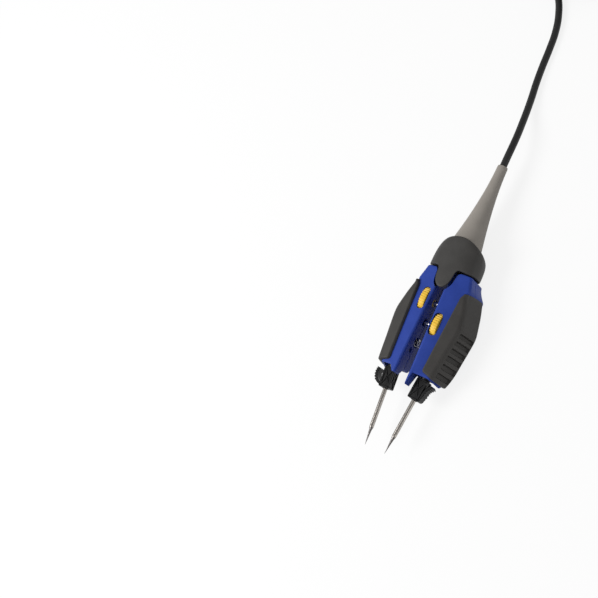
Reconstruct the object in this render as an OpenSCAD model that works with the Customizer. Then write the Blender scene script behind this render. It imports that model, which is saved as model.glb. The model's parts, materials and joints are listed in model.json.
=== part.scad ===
// Soldering tweezers: two sprung arms that carry heated tips, with a collar, strain relief and cord.
// +Z is up, the tips point to -Y and the cord leaves to +Y. Lengths along the tool are stations,
// counted in millimetres from the points of the tips.

/* [Tips] */
// Length of the tapered point of a tip
needle_len = 9.7; // [7:0.1:13]
// Length of rod that shows between the point and the holder
rod_len = 22.9; // [18:0.1:30]
// Diameter of the heated rod
rod_d = 2.4; // [2:0.1:3]
// Distance between the two points with the arms at rest
tip_gap = 12.6; // [11:0.1:13]
// Distance between the two rods where they meet the holders
rod_gap = 18.4; // [17:0.1:19.5]
// Length of the holder in front of the arm
holder_len = 11.4; // [9:0.1:14]
// Side of the holder's square body
holder_w = 6.4; // [5.6:0.1:6.8]
// Reach of the finger tab beside the holder
tab_reach = 3.6; // [2.5:0.1:4.5]

/* [Arms] */
// Length of the moulded arm from its front edge to the collar
arm_len = 59; // [56:0.5:66]
// Height of the ridge along the inner edge of the arm
arm_h = 21; // [20:0.1:22]
// Height of the tip axis and the parting line
axis_z = 11.5; // [11:0.1:12]
// Half of the gap between the arms at their front edge
gap_half = 3.9; // [3.9:0.05:4.6]
// How much the gap narrows for each millimetre towards the collar
gap_taper = 0.03; // [0.02:0.005:0.04]
// Half width over the grips at the brow of their front end
front_half_w = 17.2; // [16.5:0.1:18]
// Widening of each grip for each millimetre behind its front end
flare = 0.13; // [0.11:0.005:0.14]
// Half width of the arms at the collar
rear_half_w = 13.6; // [13:0.1:14.4]
// Narrowing for each millimetre towards the collar
waist = 0.25; // [0.23:0.005:0.28]
// How far the side leans outwards from the brow to the floor
side_lean = 4.6; // [3.5:0.1:5]
// How far the lower front corner of the grip reaches ahead of the upper one
grip_sweep = 2.4; // [1:0.1:3]
// How far the side of the collar's rear rim lies ahead of its top
rim_sweep = 4.4; // [2:0.1:5]
// Fall of the top face for each millimetre outwards
roof_fall = 0.25; // [0.18:0.01:0.3]
// Wall of the moulded shells
wall = 1.2; // [1:0.05:1.4]
// Closing angle of each arm
close_deg = 3.3; // [2.5:0.05:3.3]

/* [Grips] */
// Distance from the front edge of the arm to the grip
grip_front = 2; // [1:0.1:4]
// Length of the grip
grip_len = 46.5; // [42:0.5:48]
// Thickness of the grip on the outer side
grip_t = 2; // [1.6:0.1:2.4]
// Height of the grip over the top face
grip_rise = 1.8; // [1:0.1:2.2]
// Number of ribs on each grip
rib_count = 6; // [4:1:7]
// Spacing of the ribs
rib_pitch = 4.3; // [3.6:0.1:4.6]
// Depth of the grooves between ribs
rib_depth = 0.9; // [0.4:0.1:1.1]

/* [Dials] */
// Diameter of an adjusting dial
dial_d = 16.4; // [15.6:0.1:16.6]
// Width of a dial
dial_w = 3.5; // [3:0.1:3.8]
// Height of the dials' axis over the tip axis
dial_rise = 1.6; // [1.4:0.1:1.8]
// Distance of the left dial, which sets the height of the tips, in front of the hinge
left_dial_back = 22.5; // [22:0.1:23.5]
// Distance of the right dial, which sets the opening, in front of the left one
dial_spacing = 11.5; // [11.4:0.1:12.5]
// Diameter of the stop screw
screw_d = 2.6; // [2.4:0.1:2.8]
// Offset of the eccentric pin
eccentric = 0.25; // [0.15:0.05:0.3]
// Diameter of the eccentric pin
pin_d = 2.4; // [2:0.1:2.6]
// Number of teeth on a dial
dial_teeth = 36; // [24:1:44]

/* [Collar and strain relief] */
// Length of the collar without its tongue
collar_len = 18; // [16.5:0.5:20]
// Half width of the collar
collar_half_w = 14.5; // [14:0.1:15.2]
// Wall of the collar
collar_wall = 1.6; // [1.3:0.1:1.9]
// Length of the tongue on top of the collar
tongue_len = 11.5; // [8:0.5:13]
// Width of the tongue
tongue_w = 9; // [7:0.5:10]
// Length of the strain relief
relief_len = 47; // [40:1:54]
// Radius of the strain relief at the collar
relief_base_r = 9.2; // [8.8:0.1:9.6]
// Radius of the strain relief at the cord
relief_end_r = 2.9; // [2.7:0.1:3.4]
// Diameter of the hinge pins
hinge_d = 3; // [2.6:0.1:3.4]
// Half distance between the hinge pins
hinge_x = 6; // [5.7:0.1:6.2]

/* [Spring] */
// Diameter of the return spring at the middle of its wire
spring_d = 3.9; // [3.4:0.1:4.2]
// Diameter of the spring wire
wire_d = 0.55; // [0.4:0.05:0.7]
// Number of turns of the spring
spring_turns = 8; // [6:1:10]

/* [Cord and plug] */
// Diameter of the cord
cord_d = 4; // [3.6:0.1:4.4]
// Diameter of the plug's metal shell
plug_shell_d = 13.2; // [12.5:0.1:14]
// Length of the plug's metal shell
plug_shell_len = 12; // [10:0.5:14]
// Diameter of the plug's body
plug_body_d = 16; // [15.5:0.1:17]
// Length of the plug's body
plug_body_len = 24; // [20:0.5:28]
// Number of contact pins in the plug
plug_pin_count = 6; // [4:1:7]

/* [Hidden] */
$fn = 48;
// Clearances: fixed pieces, running shafts, neighbouring bodies
fit = 0.05;
run_fit = 0.05;
clear = 0.3;
eps = 0.01;

// Stations along the tool
holder_at = needle_len + rod_len;
arm_at = holder_at + holder_len;
collar_at = arm_at + arm_len;
relief_at = collar_at + collar_len;
tool_len = relief_at + relief_len;
arm_end = collar_at - 0.7;
hinge_at = collar_at + 3;
grip_at = arm_at + grip_front;
grip_end = grip_at + grip_len;
left_dial_at = hinge_at - left_dial_back;
right_dial_at = left_dial_at - dial_spacing;
nest_at = arm_at + 1;
nest_len = right_dial_at - dial_d / 2 - clear - nest_at;
spring_at = nest_at + nest_len - 3;
sight_hole_at = spring_at - 5.2;
knee_at = left_dial_at - 1.5;
tongue_at = collar_at - tongue_len;

// Rods: the axis leans inwards towards the point
lean = (rod_gap - tip_gap) / 2 / holder_at;
lean_deg = atan(lean);

// Moulded section
inner_fillet = 1.4;
crest_fillet = 3.8;
keel_fillet = 3;
crest_soft = 1;
lift_len = 12;
lift_rate = 0.035;
fillet_steps = 4;
dial_x = gap_half + wall + dial_w / 2 - 0.4;
dial_z = axis_z + dial_rise;
slot_side = 0.45;
slot_round = 0.6;
journal_r = screw_d / 2 + 0.9;
sight_hole_r = 1.5;
sight_rise = 2.6;

// Inner frame of an arm
bar_x0 = dial_x + dial_w / 2 + 2.9;
bar_w = 3.2;
eye_r = hinge_d / 2 + 1.6;
tab_h = 7;
tab_z0 = dial_z - tab_h / 2;
plate_t = 1.4;
socket_r = 2.55;
sleeve_r = 2.8;
nose_len = 8;
nest_r = 3.6;
bore_len = 8;
contact_len = 2;
lead_r = 0.5;
boss_r = 2.3;
screw_head_r = 1.9;
screw_head_h = 1.4;
screw_head_z = 1.2;
thread_r = 1;

// Collar section
shoulder_at = collar_at + 1;
collar_rise = arm_h - axis_z + 0.7;
collar_drop = axis_z - 0.2;
collar_rear_half_w = 10.2;
collar_rear_rise = 9.6;
block_at = hinge_at + 6.5;
block_r = 6.4;
foot_drop = 7.5;
neck_len = 3;
neck_r = 6.8;
seat_fit = 0.15;
tongue_rise = arm_h - axis_z - 3.5;
tongue_clear = (hinge_at - tongue_at) * sin(close_deg) + clear;

// Plug on the end of the cord, along +Y
plug_at = [-26, 256, plug_body_d / 2];
plug_boot_len = 14;
plug_wall = 0.6;
plug_insert_len = 3;
plug_pin_r = 0.7;
plug_pin_len = 8;

// Coil of the length of cord that is put away
coil_at = [-6, 224];
coil_r = 5.5 * cord_d;
coil_side = 3 * cord_d;
tie_t = 0.6;
tie_w = 6;

// Points along the middle of the cord, chosen by hand
run_points = [
    [0, 84, 11.5], [0, 90, 11.5], [-0.5, 98, 10.4], [-1.5, 106, 8.6], [-3, 114, 6.4],
    [-4.5, 122, 4.4], [-6, 131, 3], [-7.5, 141, 2.4], [-8.5, 152, 2.1], [-9, 163, 2.1],
    [-10, 174, 2.1], [-13, 186, 2.1], [-18, 197, 2.3],
];
tail_points = [[-28, 244, 10.2], [-27.6, 247.5, 9.6], [-26.5, 251, 8.4], [-26, 253.5, 8], [-26, 255.95, 8]];
cord_sides = 8;

// Place along Y of a station
function along(t) = t - tool_len / 2;
function unit(v) = v / norm(v);
function ease(a, b, t) = let (s = max(0, min(1, (t - a) / (b - a)))) s * s * (3 - 2 * s);
// Smaller of two values, rounded where they cross
function soft_min(a, b, k) = (a + b - sqrt((a - b) * (a - b) + k * k)) / 2;
// n + 1 points round the corner b between a and c
function corner(a, b, c, r, n = fillet_steps) =
    let (u = unit(a - b), v = unit(c - b), half = acos(max(-1, min(1, u * v))) / 2)
    let (mid = b + unit(u + v) * r / sin(half), d = r / tan(half))
    [for (i = [0:n]) mid + r * unit(((b + u * d) * (n - i) + (b + v * d) * i) / n - mid)];

// Plan and heights of an arm
function inner_x(t) = gap_half - gap_taper * (t - arm_at);
function outer_x(t) = soft_min(
    front_half_w + flare * (t - grip_at), rear_half_w + waist * (collar_at - t), crest_soft);
function shell_x(t) = outer_x(t) - grip_t * (1 - ease(grip_end - 2, grip_end + 2, t));
function ridge_z(t) = arm_h - 0.0006 * pow(t - right_dial_at, 2);
function roof_z(t, x) = ridge_z(t) - roof_fall * (x - inner_x(t));
function keel_z(t) = lift_rate * pow(max(0, arm_at + lift_len - t), 2);
function rod_x(t) = tip_gap / 2 + lean * t;
// Side of the moulding at a height: it leans outwards below the brow and upright towards the collar
function flank_x(t, z) = shell_x(t) + side_lean * (1 - ease(collar_at - 13, collar_at - 2, t)) * max(0, 1 - z / (arm_h - 4));
// Middle of the bar inside an arm, and the places of the arm's screws on it
function bar_mid(t) = let (s = max(0, (t - knee_at) / (hinge_at - knee_at)))
    (bar_x0 + bar_w / 2) * (1 - s) + (hinge_x + 0.35 * eye_r) * s;
arm_screw_places = [for (t = [right_dial_at + dial_spacing / 2, left_dial_at + 6.5]) [bar_mid(t), along(t)]];

// Edge of the grip on the top face: straight, with a round corner behind
function grip_edge(t) =
    let (r = 3.5, u = max(0, min(1, (t - grip_end + r) / r)))
    min(gap_half + 0.46 * (front_half_w - gap_half) + 0.06 * (t - grip_at) + r * (1 - sqrt(1 - u * u)), shell_x(t) - 1.2);

// Share of the grip's sweep at a station and a distance from the middle
function sweep_share(t, x) =
    ease(grip_edge(grip_at), front_half_w + side_lean / 2, x) * (1 - ease(grip_at, grip_at + 14, t));
// How far the collar's rear rim lies ahead of its top at a height
function rim_shift(z) = rim_sweep * (1 - exp(-(axis_z + collar_rise - z) / 9));

// Section paths as [x, z] points: from the inner wall over the top to the outer side, and below
function upper_path(t, in) =
    let (a = inner_x(t) + in, b = shell_x(t) - in, lo = axis_z, foot = [flank_x(t, lo) - in, lo])
    let (top = [a, roof_z(t, inner_x(t)) - in], brow = [b, roof_z(t, b) - in])
    concat(
        [[a, lo]],
        corner([a, lo], top, brow, max(0.3, inner_fillet - in)),
        corner(top, brow, foot, crest_fillet - in / 2 - 0.8),
        [foot]);
function lower_path(t, in) =
    let (a = inner_x(t) + in, lo = keel_z(t) + in)
    let (b = flank_x(t, lo) - in, side = [flank_x(t, axis_z) - in, axis_z])
    concat(
        [[a, axis_z]],
        corner([a, axis_z], [a, lo], [b, lo], max(0.3, inner_fillet - in)),
        corner([a, lo], [b, lo], side, keel_fillet - in),
        [side]);
// Skin of the grip; out = 1 is its outer face and out = 0 its seat on the shell
function grip_path(t, out, groove) =
    let (off = seat_fit + out * (outer_x(t) - shell_x(t) - groove), b = shell_x(t) + off)
    let (a = grip_edge(t), rise = seat_fit + out * grip_rise, low = keel_z(t) + keel_fillet + 0.6)
    let (foot = [flank_x(t, low) + off, low])
    let (top = [a, roof_z(t, a) + rise], brow = [b, roof_z(t, b) + rise])
    concat(
        [top],
        corner(top, brow, foot, min(crest_fillet - 0.8 + out * 0.8, 0.8 * (b - a))),
        [[flank_x(t, axis_z) + off, axis_z], foot]);

// Solid between two open skins, given as paths of equal length at each station
module skin_loft(stations, outer, inner, sweep = 0) {
    n = len(outer[0]);
    m = len(stations);
    ring = 2 * n;
    points = [
        for (i = [0:m - 1]) each concat(
            [for (p = outer[i]) [p.x, along(stations[i]) - sweep * sweep_share(stations[i], p.x), p.y]],
            [for (p = inner[i]) [p.x, along(stations[i]) - sweep * sweep_share(stations[i], p.x), p.y]])
    ];
    sides = [
        for (i = [0:m - 2], j = [0:ring - 1])
            let (
                a = j < n ? j : ring + n - 1 - j,
                k = (j + 1) % ring,
                b = k < n ? k : ring + n - 1 - k,
                p = i * ring + a, q = i * ring + b)
            each [[p, q + ring, q], [p, p + ring, q + ring]]
    ];
    ends = [
        for (e = [0, m - 1], j = [0:n - 2])
            let (p = e * ring + j, q = p + n)
            each e == 0
                ? [[p, q + 1, q], [p, p + 1, q + 1]]
                : [[p, q, q + 1], [p, q + 1, p + 1]]
    ];
    polyhedron(points, concat(sides, ends));
}

// Closed tube along points, capped at both ends
module sweep(path, r, sides) {
    m = len(path);
    points = [
        for (i = [0:m - 1])
            let (
                ahead = unit(path[min(i + 1, m - 1)] - path[max(i - 1, 0)]),
                side = unit(cross(ahead, abs(ahead.z) > 0.9 ? [1, 0, 0] : [0, 0, 1])),
                up = cross(side, ahead))
            each [for (j = [0:sides - 1])
                path[i] + r * (cos(360 * j / sides) * side + sin(360 * j / sides) * up)]
    ];
    tube = [
        for (i = [0:m - 2], j = [0:sides - 1])
            let (p = i * sides + j, q = i * sides + (j + 1) % sides)
            each [[p, q, q + sides], [p, q + sides, p + sides]]
    ];
    caps = [[for (j = [sides - 1:-1:0]) j], [for (j = [0:sides - 1]) (m - 1) * sides + j]];
    polyhedron(points, concat(tube, caps));
}

// Cylinder along X between two places
module rod_along_x(x0, x1, r, t, z = axis_z) {
    translate([x0, along(t), z]) rotate([0, 90, 0]) cylinder(r = r, h = x1 - x0);
}

// Frame on a rod's axis, with y counted backwards from the front of the holder
module on_rod_axis() {
    translate([rod_x(holder_at), along(holder_at), axis_z]) rotate([0, 0, -lean_deg]) children();
}

// Cylinder on a rod's axis
module rod_along_axis(u0, u1, r, r_end = undef) {
    translate([0, u0, 0]) rotate([-90, 0, 0])
        cylinder(r1 = r, r2 = is_undef(r_end) ? r : r_end, h = u1 - u0);
}

// Arm shells
shell_stations = concat(
    [for (t = [arm_at:2.4:arm_at + lift_len]) t],
    [for (i = [1:11]) arm_at + lift_len + (arm_end - arm_at - lift_len) * i / 11]);

// Pocket for a dial, round its axis
module dial_pocket(t) {
    rod_along_x(
        dial_x - dial_w / 2 - slot_side, dial_x + dial_w / 2 + slot_side, dial_d / 2 + slot_round, t, dial_z);
}

// Openings in an arm's inner wall: dial_t carries a dial, guest_t lets the other arm's shaft in
module wall_holes(dial_t, guest_t, guest_r, tall) {
    x1 = gap_half + 4 * wall;
    rod_along_x(0, dial_x, journal_r + run_fit, dial_t, dial_z);
    rod_along_x(0, x1, spring_d / 2 + wire_d / 2 + 0.65, spring_at);
    translate([0, along(guest_t) - guest_r, dial_z - tall]) cube([x1, 2 * guest_r, 2 * tall]);
}

// Outline of the tongue seen from above
module tongue_outline(grow) {
    r = tongue_w / 2;
    translate([0, along(tongue_at) + r]) circle(r + grow);
    translate([-r - grow, along(tongue_at) + r]) square([2 * (r + grow), tool_len / 4]);
}

guide_r = pin_d / 2 + eccentric + 9 * sin(close_deg) + clear;
guide_tall = pin_d / 2 + eccentric + clear;
stop_hole_r = screw_d / 2 + 8 * sin(close_deg) + clear;
stop_head_r = stop_hole_r + 0.45;

module upper_shell(dial_t, guest_t, guest_r, tall, lobe_len, sight_r) {
    lobe_top = ridge_z(arm_at) - inner_fillet;
    difference() {
        union() {
            skin_loft(
                shell_stations,
                [for (t = shell_stations) upper_path(t, 0)],
                [for (t = shell_stations) upper_path(t, wall)]);
            translate([inner_x(arm_at), along(arm_at), axis_z]) rotate([0, -90, 180])
                linear_extrude(wall)
                    polygon([
                        [0, -1], [lobe_top - axis_z, -1], [lobe_top - axis_z - 0.5, lobe_len / 2],
                        [lobe_top - axis_z - 3, lobe_len], [0, lobe_len]]);
        }
        dial_pocket(dial_t);
        wall_holes(dial_t, guest_t, guest_r, tall);
        translate([0, 0, axis_z + tongue_rise]) linear_extrude(arm_h) tongue_outline(tongue_clear);
        if (sight_r > 0) translate([0, 0, sight_rise]) rod_along_x(0, gap_half + 2 * wall, sight_r, sight_hole_at);
    }
}

module lower_shell(dial_t, guest_t, guest_r, tall) {
    difference() {
        union() {
            skin_loft(
                shell_stations,
                [for (t = shell_stations) lower_path(t, wall)],
                [for (t = shell_stations) lower_path(t, 0)]);
            for (p = arm_screw_places)
                translate([p.x, p.y, wall - eps])
                    cylinder(r = boss_r, h = tab_z0 - wall - fit);
        }
        wall_holes(dial_t, guest_t, guest_r, tall);
        for (p = arm_screw_places)
            translate([p.x, p.y, 0]) {
                translate([0, 0, -1]) cylinder(r = screw_head_r + fit, h = 1 + screw_head_z + screw_head_h);
                cylinder(r = thread_r + fit, h = tab_z0);
            }
    }
}

module left_upper_shell() {
    color("royalblue") mirror([1, 0, 0])
        upper_shell(left_dial_at, right_dial_at, stop_hole_r, stop_hole_r, 3, sight_hole_r);
}
module left_lower_shell() {
    color("royalblue") mirror([1, 0, 0])
        lower_shell(left_dial_at, right_dial_at, stop_hole_r, stop_hole_r);
}
module right_upper_shell() {
    color("royalblue") upper_shell(right_dial_at, left_dial_at, guide_r, guide_tall, 5, 0);
}
module right_lower_shell() {
    color("royalblue") lower_shell(right_dial_at, left_dial_at, guide_r, guide_tall);
}

// Grip: smooth brow on top, grooves between ribs on the front half of its side
rib_at = grip_at + 1.6;
groove_w = rib_pitch * 0.42;
ramp = 0.35;
grip_stations = concat(
    [grip_at, grip_at + 0.8],
    [for (i = [0:rib_count - 1], s = [0, ramp, groove_w, groove_w + ramp]) rib_at + i * rib_pitch + s],
    [for (i = [1:9]) let (from = rib_at + rib_count * rib_pitch) from + (grip_end - from) * i / 9]);
function groove_at(t) =
    let (u = (t - rib_at) / rib_pitch, s = (u - floor(u + eps)) * rib_pitch)
    u > -eps && u < rib_count - eps && s > ramp - eps && s < groove_w + eps ? rib_depth : 0;

module grip() {
    skin_loft(
        grip_stations,
        [for (t = grip_stations) grip_path(t, 1, groove_at(t))],
        [for (t = grip_stations) grip_path(t, 0, 0)],
        grip_sweep);
}
module left_grip() { color("dimgray") mirror([1, 0, 0]) grip(); }
module right_grip() { color("dimgray") grip(); }

// Inner frame of an arm: tip nest in front, bar beside the dial, hinge eye behind
module arm_frame(dial_t) {
    nest_u0 = holder_len + 1;
    bar_t0 = holder_at + nest_u0 + nest_len - 5;
    difference() {
        union() {
            on_rod_axis() rod_along_axis(nest_u0, nest_u0 + nest_len, nest_r);
            translate([0, 0, tab_z0]) linear_extrude(tab_h)
                polygon([
                    [bar_x0, along(bar_t0)], [bar_x0 + bar_w, along(bar_t0)],
                    [bar_x0 + bar_w, along(knee_at)], [hinge_x + eye_r, along(hinge_at)],
                    [hinge_x - eye_r * 0.3, along(hinge_at)], [bar_x0, along(knee_at)]]);
            translate([hinge_x, along(hinge_at), tab_z0]) cylinder(r = eye_r, h = tab_h);
            rod_along_x(
                rod_x(spring_at) - nest_r - 1.3, rod_x(spring_at) - socket_r - 0.3,
                spring_d / 2 - wire_d / 2 - 0.2, spring_at);
        }
        translate([hinge_x, along(hinge_at), tab_z0 - 1])
            cylinder(r = hinge_d / 2 + run_fit, h = tab_h + 2);
        on_rod_axis() {
            rod_along_axis(nest_u0 - 1, nest_u0 + bore_len, sleeve_r + run_fit);
            rod_along_axis(nest_u0 + bore_len - eps, nest_u0 + nest_len + 1, socket_r + fit);
        }
        rod_along_x(dial_x, bar_x0 + bar_w + 1, journal_r + run_fit, dial_t, dial_z);
        for (p = arm_screw_places)
            translate([p.x, p.y, tab_z0 - 1]) cylinder(r = thread_r + fit, h = tab_h - 2);
    }
}
module left_arm_frame() { color("darkslategray") mirror([1, 0, 0]) arm_frame(left_dial_at); }
module right_arm_frame() { color("darkslategray") arm_frame(right_dial_at); }

// Socket that takes the end of the rod, and its contact ring
socket_u0 = holder_len + 1 + bore_len;
socket_u1 = holder_len + 1 + nest_len - contact_len;
module tip_socket() {
    on_rod_axis() difference() {
        rod_along_axis(socket_u0, socket_u1, socket_r);
        rod_along_axis(socket_u0 - 1, socket_u1 + 1, rod_d / 2 + run_fit);
    }
}
module left_tip_socket() { color("tan") mirror([1, 0, 0]) tip_socket(); }
module right_tip_socket() { color("tan") tip_socket(); }

module contact_ring() {
    on_rod_axis() difference() {
        rod_along_axis(socket_u1, socket_u1 + contact_len, socket_r);
        rod_along_axis(socket_u1 - 1, socket_u1 + contact_len / 2, rod_d / 2 + run_fit);
        rod_along_axis(socket_u1, socket_u1 + contact_len + 1, rod_d / 4);
    }
}
module left_contacts() { color("gold") mirror([1, 0, 0]) contact_ring(); }
module right_contacts() { color("gold") contact_ring(); }

// Two lead wires along the outer side of the bar
module lead_pair() {
    x = bar_x0 + bar_w + lead_r + fit;
    t0 = holder_at + holder_len + 1 + nest_len + 0.3;
    for (z = [-1.5, 1.5])
        translate([x, along(t0), dial_z + z]) rotate([-90, 0, 0])
            cylinder(r = lead_r, h = knee_at - 1 - t0, $fn = 16);
}
module left_leads() { color("firebrick") mirror([1, 0, 0]) lead_pair(); }
module right_leads() { color("firebrick") lead_pair(); }

// Screws that hold the lower shell to the frame of the arm
module arm_screws() {
    for (p = arm_screw_places)
        translate([p.x, p.y, screw_head_z]) {
            cylinder(r = screw_head_r, h = screw_head_h);
            cylinder(r = thread_r, h = tab_z0 + 3.5 - screw_head_z);
        }
}
module left_arm_screws() { color("silver") mirror([1, 0, 0]) arm_screws(); }
module right_arm_screws() { color("silver") arm_screws(); }

// Tip holder: lattice ribs on its faces, a finger tab on its outer side, a sleeve behind
module tip_holder() {
    h = holder_w / 2;
    rib = 0.7;
    pocket = 0.5;
    face_len = holder_len - 2.6;
    module lattice() {
        linear_extrude(2 * pocket) for (s = [0, 180]) rotate(s) {
            polygon([[-h + 2 * rib, -face_len / 2 + rib], [h - 2 * rib, -face_len / 2 + rib], [0, -rib]]);
            polygon([[-h + rib, -face_len / 2 + 2 * rib], [-h + rib, face_len / 2 - 2 * rib], [-rib, 0]]);
        }
    }
    on_rod_axis() difference() {
        union() {
            translate([-h, 0, -h]) cube([holder_w, holder_len - 0.6, holder_w]);
            rod_along_axis(-1.2, 0, 1.9, h - 0.3);
            rod_along_axis(holder_len - 0.7, holder_len + nose_len, sleeve_r);
            translate([h - 1, 4.6, -2.3]) linear_extrude(4.6) {
                circle(tab_reach + 1);
                translate([0, -tab_reach - 1]) square([1.8, 2 * tab_reach + 2]);
            }
        }
        for (z = [0, 180]) rotate([0, z, 0])
            translate([0, 1.3 + face_len / 2, h - pocket]) lattice();
        rotate([0, -90, 0]) translate([0, 1.3 + face_len / 2, h - pocket]) lattice();
        for (i = [-1:1])
            translate([h + tab_reach - 0.7, 4.6 + 1.7 * i, -3]) cylinder(r = 0.5, h = 6, $fn = 20);
        rod_along_axis(-3, holder_len + nose_len + 1, rod_d / 2 + fit);
    }
}
module left_tip_holder() { color("black") mirror([1, 0, 0]) tip_holder(); }
module right_tip_holder() { color("black") tip_holder(); }

module tip_rod() {
    on_rod_axis() rod_along_axis(-rod_len, socket_u1 + contact_len / 2 - 0.1, rod_d / 2);
}
module left_tip_rod() { color("silver") mirror([1, 0, 0]) tip_rod(); }
module right_tip_rod() { color("silver") tip_rod(); }

// Point of the tip: a short collar and a long fine taper
module tip_needle() {
    on_rod_axis() translate([0, -rod_len, 0]) rotate([90, 0, 0]) rotate_extrude()
        polygon([
            [0, 0], [rod_d / 2, 0], [rod_d / 2 - 0.1, 0.5], [rod_d * 0.36, 1.6],
            [rod_d * 0.24, needle_len * 0.45], [0.12, needle_len - 0.1], [0, needle_len]]);
}
module left_tip_needle() { color("gray") mirror([1, 0, 0]) tip_needle(); }
module right_tip_needle() { color("gray") tip_needle(); }

// Dial: toothed wheel with a journal on each side
module dial_wheel(t) {
    r = dial_d / 2;
    tooth = 0.35;
    translate([dial_x - dial_w / 2, along(t), dial_z]) rotate([90, 0, 90]) linear_extrude(dial_w)
        polygon([for (i = [0:dial_teeth - 1], k = [0:3])
            let (a = 360 * (i + [0, 0.45, 0.55, 0.9][k]) / dial_teeth, q = r - (k > 1 ? tooth : 0))
            q * [cos(a), sin(a)]]);
    rod_along_x(inner_x(t) + 0.2, bar_x0 + bar_w - 0.4, journal_r, t, dial_z);
}
module left_dial() {
    color("gold") mirror([1, 0, 0]) difference() {
        dial_wheel(left_dial_at);
        translate([0, 0, eccentric]) rod_along_x(0, dial_x, pin_d / 2 + fit, left_dial_at, dial_z);
    }
}
module right_dial() {
    color("gold") difference() {
        dial_wheel(right_dial_at);
        rod_along_x(0, bar_x0 + bar_w + 1, screw_d / 2 + run_fit, right_dial_at, dial_z);
    }
}

// Pin that reaches from the left dial into the guide of the right arm
module eccentric_pin() {
    color("silver") translate([0, 0, eccentric])
        rod_along_x(-dial_x, inner_x(left_dial_at) + wall, pin_d / 2, left_dial_at, dial_z);
}

// Screw that the right dial draws, with its head inside the left arm
module stop_screw() {
    x_head = inner_x(right_dial_at) + wall + 0.15;
    color("silver") {
        rod_along_x(-x_head - 0.2, bar_x0 + bar_w - 0.4, screw_d / 2, right_dial_at, dial_z);
        rod_along_x(-x_head - 1.2, -x_head, stop_head_r, right_dial_at, dial_z);
    }
}

// Return spring between the two tip nests
module return_spring() {
    half = rod_x(spring_at) - nest_r - 0.5;
    steps = spring_turns * 9;
    color("silver") sweep(
        [for (i = [0:steps])
            let (a = 360 * spring_turns * i / steps)
            [-half + 2 * half * i / steps, along(spring_at) + spring_d / 2 * cos(a),
                axis_z + spring_d / 2 * sin(a)]],
        wire_d / 2, 6);
}

// Collar: oval at the arms, round at the strain relief, with a tongue on top
function shoulder(t) = sqrt(max(0, 1 - pow(max(0, (t - shoulder_at) / (relief_at - shoulder_at)), 2)));
function collar_ring(t, in) =
    let (
        s = shoulder(t),
        w = collar_rear_half_w + (collar_half_w - collar_rear_half_w) * s - in,
        up = collar_rear_rise + (collar_rise - collar_rear_rise) * s - in,
        down = collar_rear_rise + (collar_drop - collar_rear_rise) * s - in,
        power = 2 / (2.1 + 0.3 * s))
    [for (j = [0:31])
        let (a = 360 * j / 32, c = cos(a), z = sin(a))
        [w * sign(c) * pow(abs(c), power), axis_z + (z > 0 ? up : down) * sign(z) * pow(abs(z), power)]];

module collar() {
    stations = concat(
        [tongue_at - 0.5, collar_at - 2, shoulder_at],
        [for (i = [1:9]) shoulder_at + (relief_at - shoulder_at) * sin(10 * i)]);
    m = len(stations);
    points = [for (in = [0, collar_wall], t = stations) each
        let (share = max(0, (t - shoulder_at) / (relief_at - shoulder_at)))
        [for (p = collar_ring(t, in)) [p.x, along(t) - share * rim_shift(p.y), p.y]]];
    skin = [for (i = [0:m - 2], j = [0:31])
        let (p = i * 32 + j, q = i * 32 + (j + 1) % 32)
        each [[p, q, q + 32], [p, q + 32, p + 32]]];
    lining = [for (f = skin) [f[0] + m * 32, f[2] + m * 32, f[1] + m * 32]];
    rims = [for (e = [0, m - 1], j = [0:31])
        let (p = e * 32 + j, q = e * 32 + (j + 1) % 32, d = m * 32)
        each e == 0 ? [[p, q + d, q], [p, p + d, q + d]] : [[p, q, q + d], [p, q + d, p + d]]];
    color("#262626") difference() {
        polyhedron(points, concat(skin, lining, rims));
        difference() {
            translate([-tool_len, -tool_len, -1]) cube([2 * tool_len, tool_len + along(collar_at), 3 * arm_h]);
            translate([0, 0, axis_z + tongue_rise]) linear_extrude(arm_h) tongue_outline(0);
        }
        for (x = [-1, 1]) collar_screw_place(x) cylinder(r = thread_r + fit, h = 9);
        for (x = [-1, 1]) collar_screw_place(x) translate([0, 0, -1]) cylinder(r = screw_head_r + fit, h = 1.7);
    }
}

// Two screws from below hold the collar to the core frame
module collar_screw_place(side) {
    translate([side * 3.4, along(block_at + 2), axis_z - collar_drop + 0.55]) children();
}
module collar_screws() {
    color("silver") for (x = [-1, 1]) collar_screw_place(x) {
        cylinder(r = screw_head_r, h = 0.65);
        cylinder(r = thread_r, h = 7);
    }
}

// Core frame: two plates for the hinge pins on a round block that the cord passes
module core_frame() {
    upper = tab_z0 + tab_h + 0.25;
    lower = tab_z0 - 0.25 - plate_t;
    back = relief_at - neck_len;
    color("dimgray") difference() {
        union() {
            for (z = [lower, upper]) translate([0, 0, z]) linear_extrude(plate_t) hinge_plate();
            translate([0, along(block_at), axis_z]) rotate([-90, 0, 0])
                cylinder(r = block_r, h = back - block_at);
            translate([-5, along(block_at), axis_z - foot_drop]) cube([10, 4, foot_drop / 2]);
        }
        for (x = [-1, 1]) translate([x * hinge_x, along(hinge_at), lower - 1])
            cylinder(r = hinge_d / 2 + fit, h = upper - lower + plate_t + 2);
        for (x = [-1, 1]) collar_screw_place(x) cylinder(r = thread_r + fit, h = 8.5);
        translate([0, along(block_at - 1), axis_z]) rotate([-90, 0, 0])
            cylinder(r = cord_d / 2 + clear, h = back - block_at + 2);
    }
}
module hinge_plate() {
    r = hinge_d / 2 + 0.6;
    for (x = [-1, 1]) translate([x * hinge_x, along(hinge_at)]) circle(r);
    translate([-hinge_x - r, along(hinge_at)]) square([2 * (hinge_x + r), block_at + 1 - hinge_at]);
}
module hinge_pins() {
    z0 = tab_z0 - 0.25 - plate_t;
    color("silver") for (x = [-1, 1])
        translate([x * hinge_x, along(hinge_at), z0]) cylinder(r = hinge_d / 2, h = tab_h + 0.5 + 2 * plate_t);
}

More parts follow.
